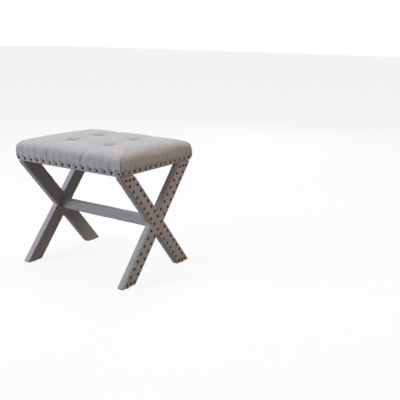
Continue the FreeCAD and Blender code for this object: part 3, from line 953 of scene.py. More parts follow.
@dataclass(frozen=True)
class TuftBowls:
    """The bowls that the buttons pull into the top, with their small radiating folds and the painted shade
    in them.
    """

    bottom: float = 0.4402
    depth: float = 7.5 * MM
    flank: Span = (0.014, 0.035)
    slope: float = 0.25
    reach: float = 0.09
    turn: float = 1.4 * MM
    folds: float = 0.5 * MM
    fold_counts: tuple[int, int] = (6, 9)
    fine_share: float = 0.6
    folds_start: Span = (0.009, 0.016)
    folds_end: Span = (0.024, 0.052)
    top: Span = (0.420, 0.434)
    # painted shade in the tuft bowls, fading out with distance, and a little in the channels
    shade: float = 0.52
    shade_edge: Span = (0.009, 0.038)
    channel: float = 1.2 * MM
    channel_width: float = 0.010
    channel_shade: float = 0.04

    def sink(self, places: Points) -> tuple[Points, Points]:
        """Pulls the tufts and the channels through them down.

        Args:
            places: The cover's points.

        Returns:
            The moved points, and how much painted shade each gets in the bowls and channels.
        """
        x, y, z = places.T.copy()
        deep = np.zeros(len(z))
        top = smoothly(*self.top, z)
        for number, tuft in enumerate(tufts()):
            away = distance(x, y, tuft)
            angle = np.arctan2(y - tuft.y, x - tuft.x)
            bowl = self.depth * smoothly(*self.flank, away)
            cup = self.bottom + bowl + self.slope * np.clip(away - self.flank[1], 0, None)
            few, many = (count * angle for count in self.fold_counts)
            folds = np.cos(few + number) + self.fine_share * np.cos(many + 2 * number)
            ring = smoothly(*self.folds_start, away) * (1 - smoothly(*self.folds_end, away))
            cup += self.folds * folds * ring
            z = np.where(away < self.reach, z + top * (soft_limit(z, cup, self.turn) - z), z)
            # Painted shade, darkest at the bowl's middle
            deep += self.shade * top * (1 - smoothly(*self.shade_edge, away))
        channel = hill(np.abs(x) - TUFT_X, self.channel_width) * top
        z -= self.channel * channel
        deep += self.channel_shade * channel
        return np.stack([x, y, z], axis=1), deep


@dataclass(frozen=True)
class WallPleats:
    """The straight pleat and the slanting one down the front, and down the back."""

    inside: Span = (0.024, 0.012)
    straight_width: float = 2.2 * MM
    straight_height: Span = (0.3825, 0.3945)
    slanting_width: float = 2.6 * MM
    slanting_height: Span = (0.392, 0.428)
    slanting_share: float = 0.8
    slant: float = 0.50
    slant_top: float = 0.452
    slant_aside: float = 0.008
    depth: float = 1.9 * MM
    roll: float = 0.8 * MM
    roll_aside: float = 2.4
    # painted shade in the pleats' grooves
    shade: float = 0.10

    def move(self, places: Points) -> tuple[Points, Points]:
        """Works out the pleats and the roll of cloth beside each.

        Args:
            places: The cover's points.

        Returns:
            How far each point moves outwards, and how much painted shade it gets in a pleat's groove.
        """
        x, y, z = places.T
        wall = smoothly(HALF_DEPTH - self.inside[0], HALF_DEPTH - self.inside[1], np.abs(y))
        straight = (x + TUFT_X) / self.straight_width
        middle = TUFT_X + self.slant_aside - (self.slant_top - z) * self.slant
        slanting = (x - middle) / self.slanting_width
        one, two = smoothly(*self.straight_height, z), smoothly(*self.slanting_height, z)
        groove = hill(straight, 1.0) * one + self.slanting_share * hill(slanting, 1.0) * two
        wide = math.sqrt(2.0)
        roll = hill(straight - self.roll_aside, wide) * one + hill(slanting + self.roll_aside, wide) * two
        return wall * (self.roll * roll - self.depth * groove), self.shade * wall * groove


@dataclass(frozen=True)
class CornerFolds:
    """The mitred fold down each upright corner."""

    inset: float = 4.0 * MM
    reach: float = 0.012
    top: Span = (0.420, 0.436)
    width: float = 1.5 * MM
    depth: float = 2.0 * MM
    roll: float = 0.8 * MM
    roll_aside: float = 4.0 * MM
    roll_width: float = 2.6 * MM
    # painted shade in the corner's mitre fold
    shade: float = 0.80

    def move(self, places: Points) -> tuple[Points, Points]:
        """Works out the fold and the roll of cloth beside it.

        Args:
            places: The cover's points.

        Returns:
            How far each point moves outwards, and how much painted shade it gets in the mitre.
        """
        x, y, z = places.T
        beside = (np.abs(x) - HALF_LENGTH) - (np.abs(y) - HALF_DEPTH)
        seam = (from_corner(x, y, self.inset) < self.reach) * (1 - smoothly(*self.top, z))
        mitre = hill(beside, self.width) * seam
        roll = hill(beside - self.roll_aside, self.roll_width) * seam
        return self.roll * roll - self.depth * mitre, self.shade * mitre


@dataclass(frozen=True)
class NailPuckers:
    """The dents and the upright folds that the nails pull into the sides."""

    facing: Span = (0.55, 0.85)
    start: Span = (0.376, 0.386)
    end: Span = (0.392, 0.446)
    least: float = 0.10
    dent: float = 1.3 * MM
    dent_width: float = 7.0 * MM
    fold: float = 1.4 * MM
    fold_level: float = 0.40
    fold_widths: Span = (7.104 * MM, 6.48 * MM)
    fold_turn: float = 1.7
    fold_least: float = 0.6
    drift: float = 3.0 * MM
    drift_turn: float = 2.4
    drift_height: Span = (0.385, 0.43)
    sunk: float = 2.7 * MM
    head: float = 5.5 * MM
    head_reach: float = 0.013
    head_slope: float = 0.5

    def _pulled(self, run: Points, z: Points, nails: Sequence[Vector], axis: int) -> Points:
        """Works out the dents and folds of one side.

        Args:
            run: How far along the side each point is.
            z: How high each point is.
            nails: The crowns of the side's nails.
            axis: The axis that the side runs along.

        Returns:
            How far each point moves outwards.
        """
        near = smoothly(*self.start, z) * (1 - smoothly(*self.end, z)) + self.least
        dents, pulls = np.zeros(len(z)), np.zeros(len(z))
        for number, nail in enumerate(nails):
            away = run - nail[axis]
            dents += hill(np.hypot(away, z - nail.z), self.dent_width)
            aside = self.drift * math.sin(self.drift_turn * number)
            fold = hill(away - aside * smoothly(*self.drift_height, z), self.fold_widths[axis])
            pulls += fold * self.fold_least * (1 + math.sin(self.fold_turn * number) ** 2)
        return -self.dent * dents - self.fold * near * (pulls - self.fold_level)

    def move(self, places: Points, ways: Points) -> Points:
        """Works out the dents and folds of all four sides.

        Args:
            places: The cover's points.
            ways: The way that the cover faces at each.

        Returns:
            How far each point moves outwards, with no nailhead buried.
        """
        move = np.zeros(len(places))
        z = places[:, 2]
        for side in Side:
            outward = np.array(side.outward)
            facing = smoothly(*self.facing, ways @ outward)
            nails = nail_places(f"{side.word}_seat_nails", side.outward)
            axis = 0 if side.outward.y else 1
            run = places[:, axis]
            move += facing * self._pulled(run, z, nails, axis)
            for nail in nails:
                away = np.hypot(run - nail[axis], z - nail.z)
                flush = nail.dot(side.outward) - self.sunk
                flush += self.head_slope * np.clip(away - self.head, 0, None)
                close = (away < self.head_reach) & (facing > 0.5)
                move = np.where(close, np.minimum(move, flush - places @ outward), move)
        return move


@dataclass
class SeatCloth:
    """The crowned and tufted cover, drawn down to its line of nails."""

    finish: bpy.types.Material
    shoulder: float = 0.4440
    round_over: float = 0.022
    corner: float = 0.005
    net: float = 5.5 * MM
    crown: float = 0.0035
    crown_halves: Span = (0.224, 0.181)
    top_from: float = 0.405
    swell: float = 0.005
    swell_from: float = 0.366
    swell_height: float = 0.098
    tuft_dip: float = 4.0 * MM
    tuft_dip_width: float = 0.024
    channel_dip: float = 2.0 * MM
    channel_dip_width: float = 0.012
    start_lower: float = 4.0 * MM
    nail_line: float = 0.3825
    button: float = 0.009
    channel: float = 4.0 * MM
    stiff_corner: float = 0.012
    stiffness: float = 0.5
    pressure: float = 4.0
    steps: int = 20
    puff: float = 6.0 * MM
    spare: float = 1.2 * MM
    fullness: float = 3.1 * MM
    fuller_right: float = 0.35
    full_width: float = 0.020
    full_start: Span = (0.371, 0.380)
    full_end: Span = (0.396, 0.432)
    fine_corner: float = 0.013
    fine_tuft: float = 0.028
    fine_wall: float = 0.018
    fine_pleats: Span = (0.009, 0.018)
    fine_from: float = 0.42
    ripple: float = 0.5 * MM
    ripple_length: float = 0.045
    ripple_start: Span = (0.376, 0.386)
    upward_share: float = 0.35
    tuck: float = 0.022
    thickness: float = 2.0 * MM

    def _box(self) -> bpy.types.Object:
        """Models the seat's rounded box before it is padded.

        Returns:
            The box, with an even net.
        """
        low = (-HALF_LENGTH, -HALF_DEPTH, UNDERSIDE)
        box = block("seat_cloth", low, (HALF_LENGTH, HALF_DEPTH, self.shoulder))
        start, end = edges_of(box)
        bevelled(box, np.abs(start[:, 2] - end[:, 2]) > 0.01, self.corner, 4)
        start, end = edges_of(box)
        bevelled(box, np.minimum(start[:, 2], end[:, 2]) > self.shoulder - MM, self.round_over, 6)
        remesh(box, self.net, 1)
        return box

    def _lift(self, x: Points, y: Points) -> Points:
        """How much the crown lifts the top at each place."""
        along, across = ((value / half) ** 2 for value, half in zip((x, y), self.crown_halves))
        return self.crown * (np.clip(1 - along, 0, 1) + np.clip(1 - across, 0, 1))

    def _crowned(self, places: Points) -> Points:
        """Swells the sides and crowns the top.

        Args:
            places: The plain box's points.

        Returns:
            The moved points.
        """
        x, y, z = places.T.copy()
        share = np.clip((z - self.swell_from) / self.swell_height, 0, 1)
        rise = self.swell * np.sin(math.pi * share)
        top = smoothly(self.top_from, self.shoulder, z)
        lower = self.start_lower
        z += top * (self._lift(x, y) - lower)
        x *= 1 + rise / HALF_LENGTH * np.abs(x / HALF_LENGTH) ** 4
        y *= 1 + rise / HALF_DEPTH * np.abs(y / HALF_DEPTH) ** 4
        for tuft in tufts():
            z -= top * self.tuft_dip * hill(distance(x, y, tuft), self.tuft_dip_width)
        z -= top * self.channel_dip * hill(np.abs(x) - TUFT_X, self.channel_dip_width)
        return np.stack([x, y, z], axis=1)

    def _puffed(self, seat: bpy.types.Object) -> None:
        """Blows the cover out from its nails and tufts as cloth, by no more than puff.

        Args:
            seat: The crowned cover.
        """
        start = points_of(seat)
        x, y, z = start.T
        held = z < self.nail_line + MM
        for tuft in tufts():
            held |= distance(x, y, tuft) < self.button
        slow = np.abs(np.abs(x) - TUFT_X) < self.channel
        slow |= from_corner(x, y) < self.stiff_corner
        group = seat.vertex_groups.new(name="held")
        group.add(np.nonzero(held)[0].tolist(), 1.0, "REPLACE")
        group.add(np.nonzero(slow & ~held)[0].tolist(), self.stiffness, "REPLACE")
        take(seat)
        cloth = seat.modifiers.new("Puff", "CLOTH")
        cloth.settings.vertex_group_mass = "held"
        cloth.settings.use_pressure = True
        cloth.settings.uniform_pressure_force = self.pressure
        cloth.settings.quality = 5
        cloth.settings.effector_weights.gravity = 0.0
        scene = bpy.context.scene
        for number in range(1, self.steps + 1):
            scene.frame_set(number)
        bpy.ops.object.modifier_apply(modifier=cloth.name)
        scene.frame_set(1)
        seat.vertex_groups.clear()
        way = points_of(seat) - start
        far = np.linalg.norm(way, axis=1, keepdims=True)
        put_points(seat, start + way * np.minimum(1.0, self.puff / np.maximum(far, 1e-9)))

    def _kept_in(self, seat: bpy.types.Object) -> None:
        """Holds the blown cover to its padding, and fills its corners out.

        Args:
            seat: The blown cover.
        """
        x, y, z = points_of(seat).T
        spare = self.swell + self.spare
        z = soft_limit(z, self.shoulder + self._lift(x, y) + self.spare)
        x = np.sign(x) * soft_limit(np.abs(x), HALF_LENGTH + spare)
        y = np.sign(y) * soft_limit(np.abs(y), HALF_DEPTH + spare)
        full = self.fullness * (1 + self.fuller_right * np.sign(x))
        full *= hill(from_corner(x, y), self.full_width)
        full *= smoothly(*self.full_start, z) * (1 - smoothly(*self.full_end, z))
        put_points(seat, np.stack([x + np.sign(x) * full, y + np.sign(y) * full, z], axis=1))

    def _refined(self, seat: bpy.types.Object) -> None:
        """Gives the tufts, pleats and corners a finer net.

        Args:
            seat: The cover.
        """
        middles, _ = faces_of(seat)
        x, y, z = middles.T
        fine = from_corner(x, y) < self.fine_corner
        for tuft in tufts():
            fine |= (distance(x, y, tuft) < self.fine_tuft) & (z > self.fine_from)
        straight, slanting = self.fine_pleats
        pleats = (np.abs(x + TUFT_X) < straight) | (np.abs(x - TUFT_X) < slanting)
        fine |= pleats & (np.abs(y) > HALF_DEPTH - self.fine_wall)
        fine &= z > UNDERSIDE + 4 * MM
        work_on(seat, Kind.FACES, fine, lambda: bpy.ops.mesh.subdivide(smoothness=0.0))

    def build(self) -> None:
        """Makes the cover from its box to its folds and hands it over."""
        seat = self._box()
        put_points(seat, self._crowned(points_of(seat)))
        self._puffed(seat)
        self._kept_in(seat)
        finish_with(seat, "SUBSURF", levels=1, render_levels=1)
        self._refined(seat)
        places, ways = points_of(seat), normals_of(seat)
        pleats, pleated = WallPleats().move(places)
        corners, mitred = CornerFolds().move(places)
        move = pleats + corners + NailPuckers().move(places, ways)
        waves = Ripple(3, self.ripple_length).at(places) * smoothly(*self.ripple_start, places[:, 2])
        move += self.ripple * waves
        sideways = ways * np.array([1.0, 1.0, self.upward_share])
        places, sunk = TuftBowls().sink(places + sideways * move[:, None])
        put_points(seat, places)
        # Painted shade of the pleats, the corner mitres, the tuft bowls and the channels
        store_painted_shade(seat, pleated + mitred + sunk)
        middles, _ = faces_of(seat)
        x, y, z = np.abs(middles.T)
        under = (z < UNDERSIDE + 3 * MM) & (x < HALF_LENGTH - self.tuck)
        without(seat, under & (y < HALF_DEPTH - self.tuck))
        finish_with(seat, "SOLIDIFY", thickness=self.thickness, offset=-1.0)
        lay_weave(seat, weave_by_side)
        hand_over(seat, self.finish, ["seat_cover"])


@dataclass
class SeatFilling:
    """The foam and the wadding under the cover."""

    foam: bpy.types.Material
    wadding: bpy.types.Material
    net: float = 5.0 * MM
    deck: float = 0.417
    settled: float = 0.20
    shrunk: float = 2.4 * MM
    top_from: float = 0.43
    tuft_dip: float = 4.0 * MM
    tuft_width: float = 0.028
    channel_dip: float = 1.5 * MM
    channel_width: float = 0.012
    pleat_dip: float = 2.5 * MM
    pleat_width: float = 0.020
    pleat_from: float = 0.150
    under_skin: float = 3.2 * MM

    def _inside_cover(self, places: Points) -> Points:
        """Keeps the foam a cloth's thickness and more inside of the cover.

        Args:
            places: The foam's points.

        Returns:
            The points, moved in where they stood too far out.
        """
        cover = bpy.data.objects["seat_cloth"]
        faces = [tuple(face.vertices) for face in cover.data.polygons]
        tree = BVHTree.FromPolygons(points_of(cover).tolist(), faces)
        kept = places.copy()
        for row, place in enumerate(places):
            for axis in (2, 1, 0):
                way = Vector((0, 0, 0))
                way[axis] = 1.0 if axis == 2 or place[axis] > 0 else -1.0
                spot = Vector(kept[row])
                hit, _, _, _ = tree.ray_cast(spot + way * (1.0 - spot.dot(way)), -way)
                if hit is not None:
                    kept[row, axis] = way[axis] * min(spot.dot(way), hit.dot(way) - self.under_skin)
        return kept

    def _pad(self) -> None:
        """Makes the foam, dipped where the cover dips."""
        pad = copied(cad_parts["foam_pad"], "foam_block")
        merged(pad)
        remesh(pad, self.net, 3)
        places = points_of(pad) - normals_of(pad) * self.shrunk
        x, y, z = places.T
        z -= np.clip(z - self.deck, 0.0, None) * self.settled
        for tuft in tufts():
            z -= self.tuft_dip * hill(distance(x, y, tuft), self.tuft_width) * (z > self.top_from)
        beside = np.abs(x) - TUFT_X
        z -= self.channel_dip * hill(beside, self.channel_width) * (z > self.top_from)
        y -= np.sign(y) * self.pleat_dip * hill(beside, self.pleat_width) * (np.abs(y) > self.pleat_from)
        put_points(pad, self._inside_cover(places))
        hand_over(pad, self.foam, ["foam_pad"])

    def _sides(self) -> None:
        """Makes the wadding round the seat box."""
        sides = copied(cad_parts["side_wadding"], "side_batting")
        merged(sides)
        every = np.ones(len(sides.data.polygons))
        work_on(sides, Kind.FACES, every, lambda: bpy.ops.mesh.subdivide(number_cuts=3))
        put_points(sides, points_of(sides) + normals_of(sides) * 0.1 * MM)
        hand_over(sides, self.wadding, ["side_wadding"])

    def build(self) -> None:
        """Makes both fillings and hands them over."""
        self._pad()
        self._sides()


@dataclass
class TuftButtons:
    """The cloth-covered buttons that hold the tufts down."""

    finish: bpy.types.Material
    radius: float = 8.0 * MM
    height: float = 4.6 * MM
    foot: float = 0.4398
    gathers: int = 14
    gather_height: float = 0.020
    gather_start: Span = (0.55, 1.0)
    # painted shade over the buttons, less of it towards their tops
    shade: float = 0.75
    worn: float = 0.5
    worn_height: Span = (0.4412, 0.4442)

    def build(self) -> None:
        """Makes one button, copies it to each tuft and hands them over."""
        button = dome("button_pattern", self.radius, self.height, (48, 24), closed=True)
        places = points_of(button)
        angle = np.arctan2(places[:, 1], places[:, 0])
        away = np.hypot(places[:, 0], places[:, 1]) / self.radius
        gathers = np.cos(self.gathers * angle) * smoothly(*self.gather_start, away)
        put_points(button, places * (1 + self.gather_height * gathers[:, None]))
        caps = [
            copied(button, f"cap_{number}", Matrix.Translation((*tuft, self.foot)))
            for number, tuft in enumerate(tufts())
        ]
        removed(button)
        whole = joined(caps, "button_caps")
        # Painted shade: deep on the button's lower part, lighter towards its top where it rises out of the
        # bowl
        store_painted_shade(whole, self.shade - self.worn * smoothly(*self.worn_height, points_of(whole)[:, 2]))
        lay_weave(whole, weave_by_side)
        hand_over(whole, self.finish, ["tuft_buttons"])


# The frames


@dataclass
class EndFrame:
    """One X-shaped end: cloth round its edges, and a nailed panel on its face."""

    side: Side
    finish: bpy.types.Material
    seam: float = 0.2280
    arm_width: float = 0.051
    bottom: float = 0.0025
    tip: float = 5.0 * MM
    tip_height: float = 0.02
    overlong: float = 0.30
    net: float = 2.6 * MM
    thickness: float = 1.6 * MM
    ripple: float = 0.22 * MM
    ripple_lengths: Span = (0.030, 0.011)
    flat_foot: float = 1.3 * MM
    # painted shade along the wrap's outer edge, where it meets the panel
    edge: Span = (2.2 * MM, 0.6 * MM)
    edge_shade: float = 0.75
    open_from: float = 1.2 * MM
    panel_depth: float = 9.0 * MM
    panel_inset: float = 0.7 * MM
    panel_net: float = 2.3 * MM
    panel_thickness: float = 0.8 * MM
    panel_ripple: float = 0.2 * MM
    panel_ripple_length: float = 0.035
    panel_facing: Span = (0.4, 0.8)
    # painted shade on the panel's turned-in edge and in the dents round its nails
    panel_edge: Span = (0.4 * MM, 0.9 * MM)
    panel_shade: float = 0.65
    turn_in: float = 0.6 * MM
    dent: float = 0.9 * MM
    dent_width: float = 6.5 * MM
    dent_shade: float = 0.16
    pull: float = 0.5 * MM
    pull_width: float = 13.0 * MM

    def _cross(self, name: str, low_x: float, high_x: float, inset: float) -> bpy.types.Object:
        """Models a solid cross between two upright planes.

        Args:
            name: The cross's name.
            low_x: Where it starts, out from the stool's middle.
            high_x: Where it ends.
            inset: How far its outline is drawn in.

        Returns:
            The cross, trimmed level at its top and feet.
        """
        sign = self.side.outward.x
        near, far = sorted((sign * low_x, sign * high_x))
        half, middle = self.arm_width / 2 - inset, (self.bottom + UNDERSIDE) / 2
        low, high = (near, -half, middle - self.overlong), (far, half, middle + self.overlong)
        cross, other = (block(name, low, high, turn) for turn in (ARM_LEAN, -ARM_LEAN))
        finish_with(cross, "BOOLEAN", object=other, operation="UNION", solver="EXACT")
        removed(other)
        for height, way in ((self.bottom + inset, -1), (UNDERSIDE - inset, 1)):
            sliced(cross, (0, 0, height), (0, 0, way), clear_outer=True, use_fill=True)
        start, end = edges_of(cross)
        tips = np.abs(start[:, 0] - end[:, 0]) > 2 * MM
        tips &= (np.abs(start[:, 1]) > HALF_DEPTH - inset - 6 * MM) & (start[:, 2] < self.tip_height)
        bevelled(cross, tips, self.tip, 3)
        return cross

    def _weave(self, places: Points, ways: Points) -> Points:
        """Lays the weave upright on the faces and along each arm's edges.

        Args:
            places: The places of the faces' corners.
            ways: The ways that the faces look.

        Returns:
            Two map coordinates for each corner.
        """
        x, y, z = places.T
        slope = np.where(ways[:, 1] * ways[:, 2] > 0, -1.0, 1.0)
        along = slope * math.sin(ARM_LEAN) * y + math.cos(ARM_LEAN) * z
        face = np.abs(ways[:, 0]) > 0.7
        return np.stack([np.where(face, y, x), np.where(face, z, along)], axis=1)

    def _wrap(self) -> None:
        """Makes the cloth round the edges and over the inner face."""
        word, sign = self.side.word, self.side.outward.x
        wrap = self._cross(f"{word}_arm_cloth", FRAME_INNER, self.seam, 0.0)
        remesh(wrap, self.net, 2)
        places = points_of(wrap)
        long, short = self.ripple_lengths
        soft = Ripple(11, long).at(places) + 0.5 * Ripple(12, short).at(places)
        places += normals_of(wrap) * (self.ripple * soft)[:, None]
        foot = places[:, 2] < self.bottom + self.flat_foot
        places[:, 2] = np.where(foot, self.bottom, places[:, 2])
        put_points(wrap, places)
        # Painted shade along the wrap's outer edge, at the seam with the panel
        edge = smoothly(self.seam - self.edge[0], self.seam - self.edge[1], places[:, 0] * sign)
        store_painted_shade(wrap, self.edge_shade * edge)
        middles, ways = faces_of(wrap)
        outermost = middles[:, 0] * sign > self.seam - self.open_from
        without(wrap, outermost & (ways[:, 0] * sign > 0.9))
        finish_with(wrap, "SOLIDIFY", thickness=self.thickness, offset=-1.0)
        lay_weave(wrap, self._weave)
        hand_over(wrap, self.finish, [f"{word}_frame_wrap"])

    def _panel(self) -> None:
        """Makes the nailed cloth over the outer face, with its edges turned in."""
        word, sign = self.side.word, self.side.outward.x
        inside = HALF_LENGTH - self.panel_depth
        panel = self._cross(f"{word}_face_cloth", inside, HALF_LENGTH, self.panel_inset)
        remesh(panel, self.panel_net, 2)
        back = (sign * (self.seam - self.turn_in), 0, 0)
        sliced(panel, back, (sign, 0, 0), clear_inner=True, use_fill=False)
        places = points_of(panel)
        dents, pulls = np.zeros(len(places)), np.zeros(len(places))
        for nail in nail_places(f"{word}_frame_nails", self.side.outward):
            away = np.hypot(places[:, 1] - nail.y, places[:, 2] - nail.z)
            dents += hill(away, self.dent_width)
            pulls += hill(away, self.pull_width)
        depth = self.dent * dents + self.pull * pulls - self.pull
        soft = Ripple(21, self.panel_ripple_length).at(places) * self.panel_ripple
        flat = smoothly(*self.panel_facing, normals_of(panel)[:, 0] * sign)
        places[:, 0] += sign * flat * (soft - depth)
        put_points(panel, places)
        # Painted shade on the panel's turned-in edge and in the dents round each nail
        low, high = self.panel_edge
        edge = 1 - smoothly(self.seam - low, self.seam + high, places[:, 0] * sign)
        store_painted_shade(panel, self.panel_shade * edge + self.dent_shade * np.clip(dents, 0, 1) * flat)
        finish_with(panel, "SOLIDIFY", thickness=self.panel_thickness, offset=-1.0)
        lay_weave(panel, self._weave)
        hand_over(panel, self.finish, [f"{word}_frame_panel"])

    def build(self) -> None:
        """Makes the frame's two cloths and hands them over."""
        self._wrap()
        self._panel()


@dataclass
class BarCloth:
    """The sleeve of the bar between the two crossings."""

    finish: bpy.types.Material
    half_depth: float = 0.014
    half_height: float = 0.0185
    middle: float = 0.18625
    rounding: float = 7.0 * MM
    net: float = 2.4 * MM
    gathered: float = 0.045
    gather: float = 0.35 * MM
    ripple: float = 0.35 * MM
    ripple_length: float = 0.050
    seam: float = 0.8 * MM
    seam_height: float = 4.0 * MM
    seam_width: float = 1.6 * MM
    # painted shade towards the sleeve's ends, where it meets the frames
    end_shade: float = 0.5
    end_shade_width: float = 5.0 * MM
    thickness: float = 1.8 * MM

    def build(self) -> None:
        """Makes the sleeve with its seam and end gathers and hands it over."""
        low = (-FRAME_INNER, -self.half_depth, self.middle - self.half_height)
        high = (FRAME_INNER, self.half_depth, self.middle + self.half_height)
        sleeve = block("bar_cloth", low, high)
        start, end = edges_of(sleeve)
        bevelled(sleeve, np.abs(start[:, 0] - end[:, 0]) > 0.1, self.rounding, 5)
        remesh(sleeve, self.net, 2)
        places = points_of(sleeve)
        x, y, z = places.T
        ends = smoothly(FRAME_INNER - self.gathered, FRAME_INNER, np.abs(x))
        angle = np.arctan2(z - self.middle, y)
        gathers = np.cos(9 * angle + 40 * x) * ends
        seam = hill(z - self.middle + self.half_height - self.seam_height, self.seam_width) * (y > 6 * MM)
        waves = Ripple(31, self.ripple_length).at(places)
        move = self.gather * gathers + self.ripple * waves + self.seam * seam
        put_points(sleeve, places + normals_of(sleeve) * move[:, None])
        # Painted shade towards each end, where the sleeve meets a frame
        dark = smoothly(FRAME_INNER - self.end_shade_width, FRAME_INNER, np.abs(x))
        store_painted_shade(sleeve, self.end_shade * dark)
        middles, _ = faces_of(sleeve)
        without(sleeve, np.abs(middles[:, 0]) > FRAME_INNER - MM)
        finish_with(sleeve, "SOLIDIFY", thickness=self.thickness, offset=-1.0)
        lay_weave(sleeve, weave_by_side)
        hand_over(sleeve, self.finish, ["stretcher_sleeve"])


@dataclass
class UnderSheet:
    """The thin cloth stapled over the open underside."""

    cloth: bpy.types.Material
    staple: bpy.types.Material
    halves: Span = (0.202, 0.171)
    free_halves: Span = (0.190, 0.158)
    height: float = 0.3696
    fold: float = 0.9 * MM
    sag: float = 3.5 * MM
    ripple: float = 0.3 * MM
    ripple_length: float = 0.040
    hem: float = 0.010
    thickness: float = 0.3 * MM
    staple_half: Span = (5.0 * MM, 0.6 * MM)
    staple_height: float = 0.9 * MM
    staple_rounding: float = 0.25 * MM
    staple_turn: float = 0.25
    staple_inset: float = 4.0 * MM
    staple_steps: Span = (0.044, 0.046)

    def _sheet(self) -> None:
        """Makes the sheet with its hem and its slight sag."""
        bpy.ops.object.select_all(action="DESELECT")
        bpy.ops.mesh.primitive_grid_add(
            x_subdivisions=60, y_subdivisions=50, size=2, location=(0, 0, self.height)
        )
        sheet = named("under_sheet", (*self.halves, 1))
        start, end = edges_of(sheet)
        outer = np.zeros(len(start), dtype=bool)
        for axis, half in enumerate(self.halves):
            both = np.minimum(np.abs(start[:, axis]), np.abs(end[:, axis])) > half - 0.1 * MM
            outer |= both & (np.sign(start[:, axis]) == np.sign(end[:, axis]))
        down = {"value": (0, 0, -self.fold)}
        work_on(
            sheet,
            Kind.EDGES,
            outer,
            lambda: bpy.ops.mesh.extrude_edges_move(TRANSFORM_OT_translate=down),
        )
        places = points_of(sheet)
        low = places[:, 2] < self.height - 0.5 * MM
        for axis, half in enumerate(self.halves):
            edge = low & (np.abs(places[:, axis]) > half - 0.1 * MM)
            places[edge, axis] -= np.sign(places[edge, axis]) * self.hem
        along, across = (np.clip(1 - (places[:, k] / self.free_halves[k]) ** 2, 0, 1) for k in (0, 1))
        inside = along * across
        pulled = self.ripple * Ripple(41, self.ripple_length).at(places) * np.sqrt(inside)
        places[:, 2] -= (self.sag * inside + pulled) * (~low)
        put_points(sheet, places)
        finish_with(sheet, "SOLIDIFY", thickness=self.thickness, offset=0.0)
        hand_over(sheet, self.cloth, ["dust_cover"])

    def _staples(self) -> None:
        """Makes the staples round the sheet's edge."""
        x, y = self.staple_half
        pattern = block("staple_pattern", (-x, -y, -self.staple_height), (x, y, 0.0))
        bevelled(pattern, np.ones(len(pattern.data.edges)), self.staple_rounding, 1)
        chance = random.Random(7)
        length, depth = (half - self.staple_inset for half in self.halves)
        spots: list[tuple[float, float, float]] = []
        for step in range(-4, 5):
            spots += [(step * self.staple_steps[0], way * depth, 0.0) for way in (-1, 1)]
        for step in range(-3, 4):
            spots += [(way * length, step * self.staple_steps[1], math.pi / 2) for way in (-1, 1)]
        staples = []
        for number, (x, y, turn) in enumerate(spots):
            place = Matrix.Translation((x, y, self.height - 1.0 * MM))
            askew = chance.uniform(-self.staple_turn, self.staple_turn)
            turned = Matrix.Rotation(turn + askew, 4, "Z")
            staples.append(copied(pattern, f"staple_{number}", place @ turned))
        removed(pattern)
        hand_over(joined(staples, "sheet_staples"), self.staple)

    def build(self) -> None:
        """Makes the sheet and its staples and hands them over."""
        self._sheet()
        self._staples()


# Parts that keep the shape of the construction model


@dataclass
class BareParts:
    """The wood, steel, twine and plastic under and behind the cloth."""

    steel: bpy.types.Material
    early_wood: Colour = (0.62, 0.46, 0.30)
    late_wood: Colour = (0.40, 0.26, 0.15)
    grain_x: Colour = (0.06, 1.0, 1.0)
    grain_y: Colour = (1.0, 0.06, 1.0)
    grain_z: Colour = (1.0, 1.0, 0.06)

    def _hardwood(self, name: str, stretch: Colour, turn: float = 0.0) -> bpy.types.Material:
        """Pale hardwood with its grain one way."""
        return Timber(name, self.early_wood, self.late_wood, stretch, turn).material()

    def build(self) -> None:
        """Gives each node that stays its finish."""
        lengthways = self._hardwood("hardwood_long", self.grain_x)
        crossways = self._hardwood("hardwood_cross", self.grain_y)
        upright = self._hardwood("hardwood_up", self.grain_z)
        falling = self._hardwood("hardwood_falling", self.grain_z, ARM_LEAN)
        rising = self._hardwood("hardwood_rising", self.grain_z, -ARM_LEAN)
        plywood = Timber("plywood", (0.66, 0.52, 0.36), (0.48, 0.34, 0.21), (0.08, 1.0, 6.0)).material()
        twine = FineCloth("twine", (0.58, 0.50, 0.38), (0.36, 0.29, 0.20), 900.0, 0.2 * MM).material()
        plastic = BrownPlastic().material()
        finishes = {
            "front_rail": lengthways,
            "back_rail": lengthways,
            "left_rail": crossways,
            "right_rail": crossways,
            "corner_blocks": upright,
            "seat_deck": plywood,
            "right_falling_arm": falling,
            "left_falling_arm": falling,
            "right_rising_arm": rising,
            "left_rising_arm": rising,
            "stretcher_core": lengthways,
            "frame_dowels": upright,
            "stretcher_dowels": lengthways,
            "rail_screws": self.steel,
            "deck_screws": self.steel,
            "frame_screws": self.steel,
            "stretcher_bolts": self.steel,
            "barrel_nuts": self.steel,
            "tuft_washers": self.steel,
            "tuft_twines": twine,
            "floor_glides": plastic,
        }
        for name, finish in finishes.items():
            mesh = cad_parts[name].data
            mesh.materials.clear()
            mesh.materials.append(finish)
            LOG.info("%s: new finish", name)


# The studio


@dataclass(frozen=True)
class Lamp:
    """One soft round lamp that points at the stool."""

    name: str
    place: Colour
    size: float
    power: float
    colour: Colour
    aim: Colour = (0.0, 0.0, 0.25)

    def hang(self) -> None:
        """Hangs the lamp in its place."""
        lamp = bpy.data.lights.new(self.name, "AREA")
        lamp.shape = "DISK"
        lamp.size, lamp.energy, lamp.color = self.size, self.power, self.colour
        piece = bpy.data.objects.new(self.name, lamp)
        bpy.context.scene.collection.objects.link(piece)
        piece.location = self.place
        piece.rotation_mode = "QUATERNION"
        piece.rotation_quaternion = (Vector(self.place) - Vector(self.aim)).to_track_quat("Z", "Y")


